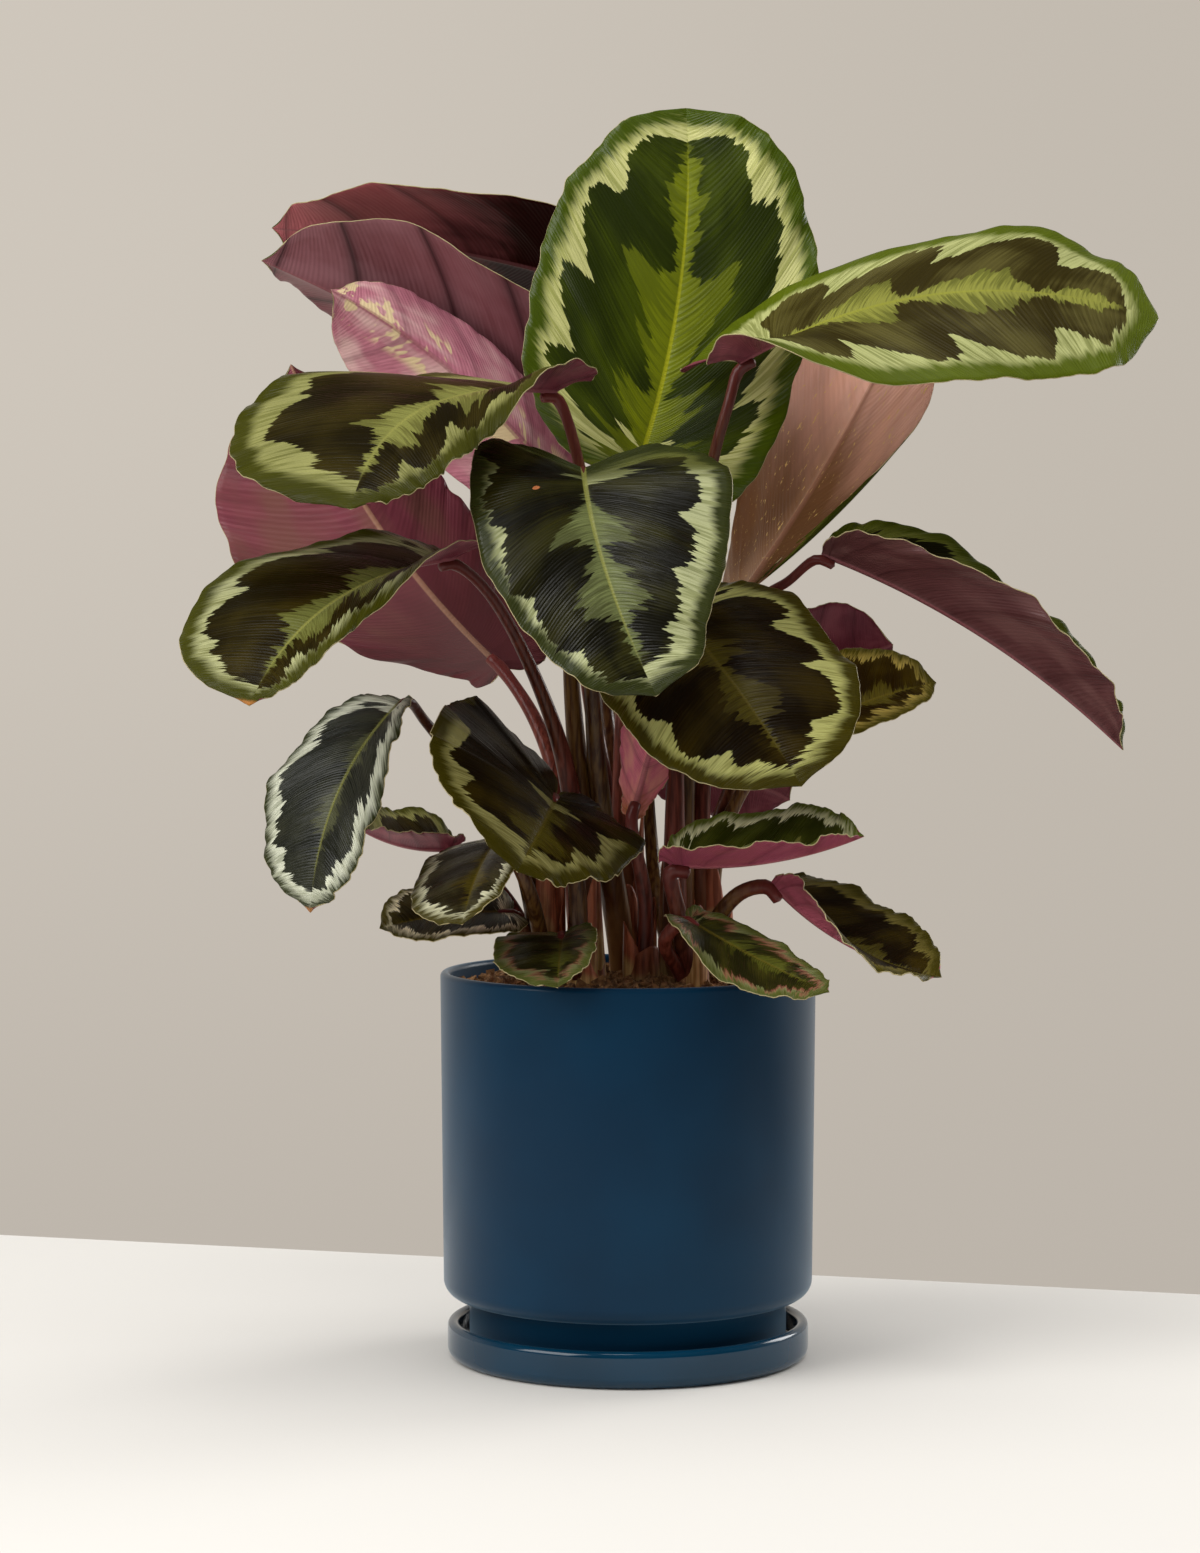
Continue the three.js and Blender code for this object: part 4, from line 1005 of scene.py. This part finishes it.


# %% [markdown]
# One plant carries fresh leaves, old ones and shaded ones, and each lies at its own angle to the light. All
# share the pattern above, and differ in its colours, in how wide its zones are, and in how ruffled they are. One
# look serves as the usual one, a few groups change some of its numbers, and each leaf changes a few more.
#
# band_at, dark_at, scallop and flame_wide are shares of the leaf's half width, and streak and tooth tell in
# millimetres how ragged the borders are. flame_run holds where along the leaf the flame starts, is full, fades
# and ends. uneven moves the ring's inner border on the left half and on the right, and sides lights the two
# halves of the underside, a painted light that makes one half lighter than the other. light is painted light
# and shade too: it makes a leaf's whole colour lighter or darker for the light that reaches it. The crease
# colour is painted shade in the valleys of the underside's pleats. foot is a colour that the underside turns to
# towards its base; on west_top it is painted shadow. sweep bends the veins at the midrib, and pleat and ruffle
# are heights in millimetres.

# %% Leaf colours
LOOK = dict(
    band=paint(64, 70, 12), ring=paint(172, 172, 108), ring2=paint(104, 108, 42),
    dark=paint(26, 26, 4), dark2=paint(50, 50, 10),
    flame=paint(112, 114, 46), flame2=paint(54, 56, 14), rib=paint(128, 128, 48),
    under=paint(108, 52, 62), under2=paint(84, 38, 46), under3=paint(122, 64, 72), under_vein=paint(140, 84, 88),
    crease_shade=paint(46, 14, 18), crease_shade_strength=0.35,
    band_at=0.1, dark_at=0.29, scallop=0.12, streak=2.2, tooth=2.6,
    flame_wide=0.42, flame_run=(0.05, 0.25, 0.6, 0.9), rough=0.3, light=0.95, sides=(1, 1),
    tip=None, foot=None, foot_until=0, patch=None, patch_size=(14, 1.5), patch_reach=14, patch_cut=0.55,
    pink=0, dark_foot=0, foot_ring=None, scar=None, shine=0.12, under_shine=0.16, rib_shown=0.85, uneven=(1, 1),
    sweep=2.6, pleat=1.2, ruffle=1.0,
)
OLIVE = dict(band=paint(64, 64, 18), ring=paint(144, 142, 86), ring2=paint(92, 92, 40), dark=paint(34, 28, 6),
             dark2=paint(56, 48, 16), flame=paint(128, 128, 66), flame2=paint(68, 64, 24),
             rib=paint(138, 136, 70), flame_run=(0.1, 0.3, 0.62, 0.92), flame_wide=0.34)
DEEP = dict(band=paint(52, 56, 24), ring=paint(176, 178, 130), ring2=paint(108, 112, 62), dark=paint(22, 20, 3),
            dark2=paint(50, 48, 14), flame=paint(108, 110, 64), flame2=paint(50, 50, 20), rib=paint(128, 128, 62))
BROWN = dict(band=paint(60, 54, 14), ring=paint(130, 124, 74), ring2=paint(86, 78, 34), dark=paint(28, 20, 3),
             dark2=paint(52, 42, 8), flame=paint(74, 66, 22), flame2=paint(44, 34, 8), rib=paint(94, 82, 30),
             dark_at=0.28, flame_wide=0.3, flame_run=(0.2, 0.45, 0.6, 0.9), rib_shown=0.5)
MOSS = dict(band=paint(72, 76, 34), ring=paint(112, 114, 76), ring2=paint(80, 84, 44), dark=paint(34, 34, 14),
            dark2=paint(58, 56, 20), flame=paint(76, 78, 28), flame2=paint(48, 48, 16))
# Each light below is painted light or shade for its leaf.
LOOKS = {
    "crown": dict(sweep=5.0, band=paint(66, 80, 4), ring=paint(196, 194, 126), ring2=paint(130, 134, 58),
                  dark=paint(40, 48, 4), dark2=paint(62, 72, 4), flame=paint(106, 114, 16),
                  flame2=paint(68, 76, 4), rib=paint(150, 150, 26), flame_run=(-0.1, 0.02, 0.5, 0.99),
                  streak=2.8, band_at=0.105, dark_at=0.35, tooth=3.0, ruffle=1.3, scallop=0.18, shine=0.25),
    "east_high": dict(band=paint(76, 86, 16), ring=paint(162, 164, 106), ring2=paint(98, 102, 46),
                      dark=paint(50, 43, 14), dark2=paint(82, 76, 38), flame=paint(124, 124, 54), light=1.05,
                      flame_run=(0.05, 0.3, 0.75, 0.95), flame_wide=0.34, ruffle=0.8, band_at=0.15,
                      dark_at=0.48, scallop=0.28, rough=0.4, shine=0.1),
    "west_broad": dict(OLIVE, light=0.86, dark_at=0.32, flame_wide=0.26, ruffle=1.4, uneven=(0.68, 1)),
    "west_low": dict(OLIVE, ring=paint(168, 168, 120), tip=paint(164, 108, 54), uneven=(0.75, 1), ruffle=0.6,
                     flame=paint(104, 106, 54), flame_wide=0.28),
    "centre_front": dict(DEEP, flame_run=(0.08, 0.35, 0.6, 0.92), pleat=1.5, ruffle=0.7, tooth=3.2,
                         flame_wide=0.36, shine=0.26, flame=paint(100, 106, 62), uneven=(1.2, 0.75),
                         dark_foot=0.15, foot_ring=paint(86, 88, 42), scar=(0.393, -0.435)),
    "centre_right": dict(BROWN, ring=paint(166, 164, 98), ring2=paint(108, 106, 50), light=1.1, scallop=0.16,
                         dark_at=0.32, flame_run=(0.1, 0.4, 0.6, 0.9), ruffle=0.8),
    "west_hanging": dict(DEEP, ring=paint(228, 230, 204), ring2=paint(142, 146, 118), dark=paint(30, 32, 20),
                         dark2=paint(56, 57, 42), flame_wide=0.2, flame=paint(84, 86, 60),
                         tip=paint(164, 108, 58), band_at=0.06, light=0.85, shine=0.2),
    "low_front": dict(BROWN, ring=paint(140, 134, 82), light=0.9, shine=0.04, dark_foot=0.7),
    "low_small": dict(BROWN, ring=paint(206, 204, 170), ring2=paint(124, 120, 86), dark=paint(34, 30, 14),
                      dark2=paint(66, 62, 38), light=1.25),
    "low_edge": dict(OLIVE, light=1.3),
    "low_west": dict(BROWN, ring=paint(216, 208, 172), dark=paint(34, 30, 10), dark2=paint(62, 56, 24),
                     light=1.7),
    "rim_west": dict({**BROWN, **MOSS}, light=1.3, pink=0.45),
    "low_east": dict(OLIVE, light=1.5, ring=paint(186, 184, 146), ring2=paint(124, 122, 82),
                     band=paint(70, 76, 28), dark=paint(38, 42, 10), dark2=paint(60, 64, 22),
                     under=paint(126, 62, 78), under2=paint(104, 48, 62)),
    "droop_east": dict(BROWN, light=1.2, ring=paint(100, 90, 44), ring2=paint(74, 66, 28), under=paint(156, 82, 96),
                       under2=paint(124, 58, 72)),
    "rim_east": dict({**BROWN, **MOSS}, light=1.2, pink=0.55),
    # east_back's pale pink is its own colour lightened to stand in for a satin highlight, and its sides paint a
    # highlight on one half.
    "east_back": dict(under=paint(248, 192, 168), under2=paint(206, 146, 118), under3=paint(236, 176, 146),
                      crease_shade_strength=0.15, ruffle=0.3, sweep=6.0, foot=paint(132, 90, 54), foot_until=0.55,
                      under_vein=paint(172, 120, 94), sides=(0.86, 1.14), under_shine=0.5,
                      patch=paint(232, 196, 110), patch_size=(60, 24), patch_reach=60, patch_cut=0.62),
    "west_pink": dict(under=paint(188, 118, 132), under2=paint(150, 84, 98), under3=paint(208, 166, 162),
                      ruffle=0.5, patch=paint(216, 192, 148), patch_size=(8, 0.5), patch_reach=18,
                      patch_cut=0.51),
    "west_second": dict(under=paint(130, 80, 86), under2=paint(112, 62, 66), under3=paint(138, 90, 96),
                        crease_shade_strength=0.9, ruffle=0.5),
    # west_top's dark foot is painted shadow that the crown casts on its base.
    "west_top": dict(under=paint(206, 112, 120), under2=paint(170, 84, 90), under3=paint(198, 108, 114), ruffle=0.4,
                     crease_shade_strength=0.6, foot=paint(46, 10, 12), foot_until=0.47),
    "west_magenta": dict(under=paint(126, 64, 74), under2=paint(98, 46, 56), under3=paint(114, 72, 66),
                         ruffle=1.6, foot=paint(88, 46, 48), foot_until=0.35, under_vein=paint(168, 128, 100)),
    "droop_high": dict(ring=paint(98, 102, 42), ring2=paint(68, 72, 24), under=paint(86, 52, 52),
                       under2=paint(66, 38, 38), under3=paint(96, 64, 62), ruffle=1.2),
    "east_small": dict(BROWN, light=2.3, dark=paint(36, 26, 3), ring=paint(140, 122, 60)),
    "unfurling": dict(under=paint(216, 116, 132), under2=paint(180, 88, 108), under3=paint(220, 140, 130),
                      foot=paint(170, 104, 64), foot_until=0.12),
}

# %% Leaves
SMALL_RELIEF = 0.6
SHAPE_SEED, TOP_SEED, UNDER_SEED = 100, 17.0, 13.0

rim_finish = leaf_rim()
total = 0
for order, (name, leaf) in enumerate(leaves.items()):
    look = {**LOOK, **LOOKS.get(name, {})}
    size = SMALL_RELIEF if leaf["small"] else 1.0
    leaf.update(sweep=look["sweep"], pleat=look["pleat"] * size, ruffle=look["ruffle"] * size,
                seed=SHAPE_SEED * order)
    width = max(leaf["half"])
    points, triangles, kind, per = leaf_mesh(leaf, leaf_frame(leaf))
    finishes = [leaf_top("top_" + name, look, width, order * TOP_SEED),
                leaf_under("under_" + name, look, order * UNDER_SEED), rim_finish]
    blade = add_mesh("leaf_" + name, points, triangles, finishes, kind)
    for key, values in per.items():
        add_attribute(blade, key, values)
    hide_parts("blade_" + name)
    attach(blade, "root")
    total += len(triangles)
print("leaf triangles:", total)

# %% [markdown]
# A stalk is a tube swept along a smooth curve through a few places. It is thickest at its foot, where a papery
# sheath wraps it, and swells again just under the blade, where a joint lets the leaf fold up at night. A curve
# object with a bevel could make it, but its thickness only changes from point to point. Here the thickness is a
# formula of the length, so that both swellings are smooth.

# %% Stalk curve
ROOT_DEPTH, COLLAR_HEIGHT, LEAN, UNDER_BLADE = 30, 3, 3, 9
CURVE_STEPS = 40


def stalk_route(leaf, frame):
    """Places a stalk passes: its root, which leans towards its first own point, the collar at the soil, its own
    points, and a short run under the midrib."""
    passed = np.array(leaf["path"], float)
    foot = np.array([*SHOOTS[leaf["shoot"]], 0.0])
    lean = passed[0] * [1, 1, 0] - foot
    root = foot + lean * min(1, LEAN / np.linalg.norm(lean)) + [0, 0, SOIL_TOP - ROOT_DEPTH]
    collar = root * [1, 1, 0] + [0, 0, SOIL_TOP + COLLAR_HEIGHT]
    ahead = unit(frame["control"] - frame["base"])
    under = leaf["stalk"][1] + THICK / 2 + GAP
    neck = frame["base"] - under * frame["face"] - ahead
    return np.array([root, collar, *passed, neck, neck + UNDER_BLADE * ahead])


def smooth_curve(places, steps):
    """Centripetal Catmull-Rom: a cubic through each pair of places, timed by the root of their distance, then
    taken at even lengths."""
    p = np.concatenate([[2 * places[0] - places[1]], places, [2 * places[-1] - places[-2]]])
    gap = np.sqrt(np.linalg.norm(np.diff(p, axis=0), axis=1))[:, None]
    before, here, after = gap[:-2], gap[1:-1], gap[2:]
    p0, p1, p2, p3 = p[:-3], p[1:-2], p[2:-1], p[3:]
    m1 = here * ((p1 - p0) / before - (p2 - p0) / (before + here) + (p2 - p1) / here)
    m2 = here * ((p2 - p1) / here - (p3 - p1) / (here + after) + (p3 - p2) / after)
    t = np.linspace(0, 1, CURVE_STEPS, endpoint=False)[:, None, None]
    cubic = p1 + m1 * t + (3 * (p2 - p1) - 2 * m1 - m2) * t ** 2 + (2 * (p1 - p2) + m1 + m2) * t ** 3
    dense = np.concatenate([cubic.transpose(1, 0, 2).reshape(-1, 3), places[-1:]])
    run = np.concatenate([[0], np.cumsum(np.linalg.norm(np.diff(dense, axis=0), axis=1))])
    even = np.linspace(0, run[-1], steps + 1)
    return np.stack([np.interp(even, run, dense[:, axis]) for axis in range(3)], -1), run[-1]


# %% Stalk tube
JOINT, JOINT_AT, JOINT_SPREAD = 0.15, 9, 7
SWELL, SWELL_AT, SWELL_SPREAD = 0.5, 60, 110
FOOT_DOME, END_DOME = 0.5, 1.2
START_SIDE = [0.3, 1.0, 0.1]  # any direction that no stalk starts in
THIN_END, TAPER = 0.95, 1.2


def stalk_radius(foot, end, share, length):
    """The end's radius, plus the foot's extra, which fades upwards by the power 1.2, plus two swellings of the
    form e^-(distance / spread)^2: the joint under the blade, and one low on the stalk."""
    joint = JOINT * end * np.exp(-(((1 - share) * length - JOINT_AT) / JOINT_SPREAD) ** 2)
    swell = SWELL * foot * np.exp(-((share * length - SWELL_AT) / SWELL_SPREAD) ** 2)
    return end * THIN_END + (foot - end) * (1 - share) ** TAPER + joint + swell


def stalk_tube(places, foot, end, around=20, step=3.5):
    """A round tube along the smooth curve: each ring is line + r (side cos a + other sin a). The side is carried
    along without twisting, and a point closes each end as a low dome."""
    straight = np.linalg.norm(np.diff(places, axis=0), axis=1).sum()
    steps = max(8, int(straight / step))
    line, length = smooth_curve(places, steps)
    ahead = unit(np.gradient(line, axis=0))
    side = np.zeros_like(line)
    side[0] = unit(np.cross(ahead[0], START_SIDE))
    for k in range(1, len(line)):
        side[k] = unit(side[k - 1] - side[k - 1].dot(ahead[k]) * ahead[k])
    other = np.cross(ahead, side)
    share = np.linspace(0, 1, steps + 1)[:, None]
    angle = np.linspace(0, 2 * np.pi, around, endpoint=False)
    r = (stalk_radius(foot, end, share, length) + 0 * angle)[..., None]
    ring = side[:, None] * np.cos(angle)[None, :, None] + other[:, None] * np.sin(angle)[None, :, None]
    body = (line[:, None] + r * ring).reshape(-1, 3)
    points = np.concatenate([body, line[:1] - ahead[:1] * FOOT_DOME, line[-1:] + ahead[-1:] * END_DOME])
    first = np.arange(around)
    foot_end = fan_faces(first, len(body))[:, ::-1]
    top_end = fan_faces(steps * around + first, len(body) + 1)
    rise = np.concatenate([(share + 0 * angle).ravel(), [0, 1]])
    return points, np.concatenate([ring_faces(steps, around), foot_end, top_end]), rise


# %% [markdown]
# A sheath is the foot of an old leaf, a papery sheet rolled about the shoot. It could be a cone with a slanting
# top, but then it would lack the open gap down one side and the pointed upper edge. So it is a thin sheet of two
# parameters: u runs round it and v up it.

# %% Sheath
SHEATH_HALF_TURN, SHEATH_LOW, SHEATH_SUNK, SHEATH_NARROWING = 145, 24, 8, 0.42
SHEATH_CREASE, HALF_THICK = 0.2, 0.25


def sheath(foot, turn, height, radius, lean):
    """A papery leaf base: a sheet rolled about its shoot, whose upper edge comes to a point on one side. The
    angle runs 290 degrees round, the height rises by cos^2 of half the angle, and the radius shrinks upwards
    and is creased by a low sine."""
    u = np.linspace(-1, 1, 29)
    v = np.linspace(0, 1, 25)[:, None]
    angle = np.radians(turn + SHEATH_HALF_TURN * u)
    tall = SHEATH_LOW + (height - SHEATH_LOW) * np.cos(u * np.pi / 2) ** 2
    r = radius * (1 - SHEATH_NARROWING * v ** 1.5 * (1 - 0.5 * u ** 2)) + SHEATH_CREASE * np.sin(9 * u + 5 * v) * v
    z = SOIL_TOP - SHEATH_SUNK + tall * v
    shift = lean * (v * tall / height) ** 1.5
    centre_x, centre_y = foot[0] + shift * np.cos(np.radians(turn)), foot[1] + shift * np.sin(np.radians(turn))

    def skin(extra):
        """The rolled sheet, set outwards by extra."""
        x, y = centre_x + (r + extra) * np.cos(angle), centre_y + (r + extra) * np.sin(angle)
        return np.stack([x, y, z + 0 * r], -1).reshape(-1, 3)

    points = np.concatenate([skin(HALF_THICK), skin(-HALF_THICK)])
    number = np.arange(z.size).reshape(z.shape)
    outer = grid_faces(number)
    rim = np.concatenate([number[0, :-1], number[:-1, -1], number[-1, :0:-1], number[:0:-1, 0]])
    faces = np.concatenate([outer, outer[:, ::-1] + z.size, strip_faces(rim, rim + z.size)])
    return points, faces, np.tile((v + 0 * u).ravel(), 2)


# %% Stalk and sheath finishes
def stalk_finish():
    """Thin streaks along the stalk, brown-purple on some stalks and olive on others, pale at the foot and wine
    red at the joint. tone tells the stalks apart, and rise runs from foot to end."""
    w = Wiring("stalk")
    rise, tone = w.attribute("rise"), w.attribute("tone")
    streak = w.noise(w.stretched((1, 1, 0.1)), scale=500, detail=3)
    patch = w.noise(w.stretched((1, 1, 0.3)), scale=60, detail=2)
    purple = w.mix(w.step(streak, *NOISE_EDGE), paint(118, 60, 48), paint(78, 36, 26))
    olive = w.mix(w.step(streak, *NOISE_EDGE), paint(104, 76, 40), paint(66, 38, 18))
    colour = w.mix(w.step(w.plus(tone, centred(w, patch, 0.5)), *NOISE_EDGE), olive, purple)
    foot = w.mix(w.step(patch, 0.4, 0.6), paint(180, 134, 84), paint(138, 78, 46))
    colour = w.mix(w.step(rise, 0.05, 0.4), foot, colour)
    colour = w.mix(w.step(rise, 0.7, 1.0), colour, paint(100, 46, 42))
    shade = w.plus(0.55, w.times(w.math("FRACT", w.times(tone, 7)), 0.6))
    w.set(Base_Color=w.lit(colour, shade), Roughness=0.32, Specular_IOR_Level=0.22)
    w.bump(streak, 0.0006, 0.5)
    return w.material


def sheath_finish():
    """Straw below and rusty red above, both streaked upwards, with a ragged border between them."""
    w = Wiring("sheath")
    rise = w.attribute("rise")
    streak = w.noise(w.stretched((1, 1, 0.08)), scale=420, detail=3)
    straw = w.mix(w.step(streak, *NOISE_EDGE), paint(212, 180, 118), paint(154, 116, 66))
    red = w.mix(w.step(streak, *NOISE_EDGE), paint(172, 100, 70), paint(120, 64, 42))
    shade = w.plus(0.7, w.times(w.attribute("tone"), 0.7))
    patch = w.noise(w.place(), scale=40, detail=2)
    colour = w.mix(w.step(w.plus(rise, centred(w, patch, 1.4)), 0.3, 0.7), straw, red)
    w.set(Base_Color=w.lit(colour, shade), Roughness=0.45, Specular_IOR_Level=0.25)
    w.bump(streak, 0.0008, 0.6)
    return w.material


# %% [markdown]
# Stalks grow in shoots: each shoot is a bunch of stalks that leave the soil together, with three sheaths wrapped
# about their feet, one in the other. Each bunch could be many objects, but it is one piece of the solids, so it
# is gathered into one mesh here too, with a finish for the stalks and one for the sheaths.

# %% Stalks
SHEATH_TURNS = [250, 40, 160]
SHEATH_TWIST, SHEATH_LEAN = 37, 4
SHEATH_TALL, TALL_EACH, TALL_LESS = 44, 14, 0.22
SHEATH_RADIUS, RADIUS_MORE = 8.5, 1.2
TONE_EACH, TONE_SHOOT = 0.37, 0.23

stalk_skin, sheath_skin = stalk_finish(), sheath_finish()
total = 0
for order, shoot in enumerate(SHOOTS):
    parts = []
    for leaf in leaves.values():
        if leaf["shoot"] == shoot:
            parts.append(stalk_tube(stalk_route(leaf, leaf_frame(leaf)), *leaf["stalk"]) + (0,))
    tall = SHEATH_TALL + TALL_EACH * len(parts)
    for k, turn in enumerate(SHEATH_TURNS):
        parts.append(sheath(SHOOTS[shoot], turn + SHEATH_TWIST * order, tall * (1 - TALL_LESS * k),
                            SHEATH_RADIUS + RADIUS_MORE * k, SHEATH_LEAN) + (1,))
    start, points, faces, rises, kinds, tones = 0, [], [], [], [], []
    for k, (p, f, rise, kind) in enumerate(parts):
        points.append(p)
        faces.append(f + start)
        rises.append(rise)
        tones.append(np.full(len(p), (TONE_EACH * k + TONE_SHOOT * order) % 1))
        kinds.append(np.full(len(f), kind))
        start += len(p)
    stems = add_mesh("stems_" + shoot, np.concatenate(points), np.concatenate(faces),
                     [stalk_skin, sheath_skin], np.concatenate(kinds))
    add_attribute(stems, "rise", np.concatenate(rises))
    add_attribute(stems, "tone", np.concatenate(tones))
    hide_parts("stalks_" + shoot)
    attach(stems, "root")
    total += len(stems.data.polygons)
print("stalk triangles:", total)
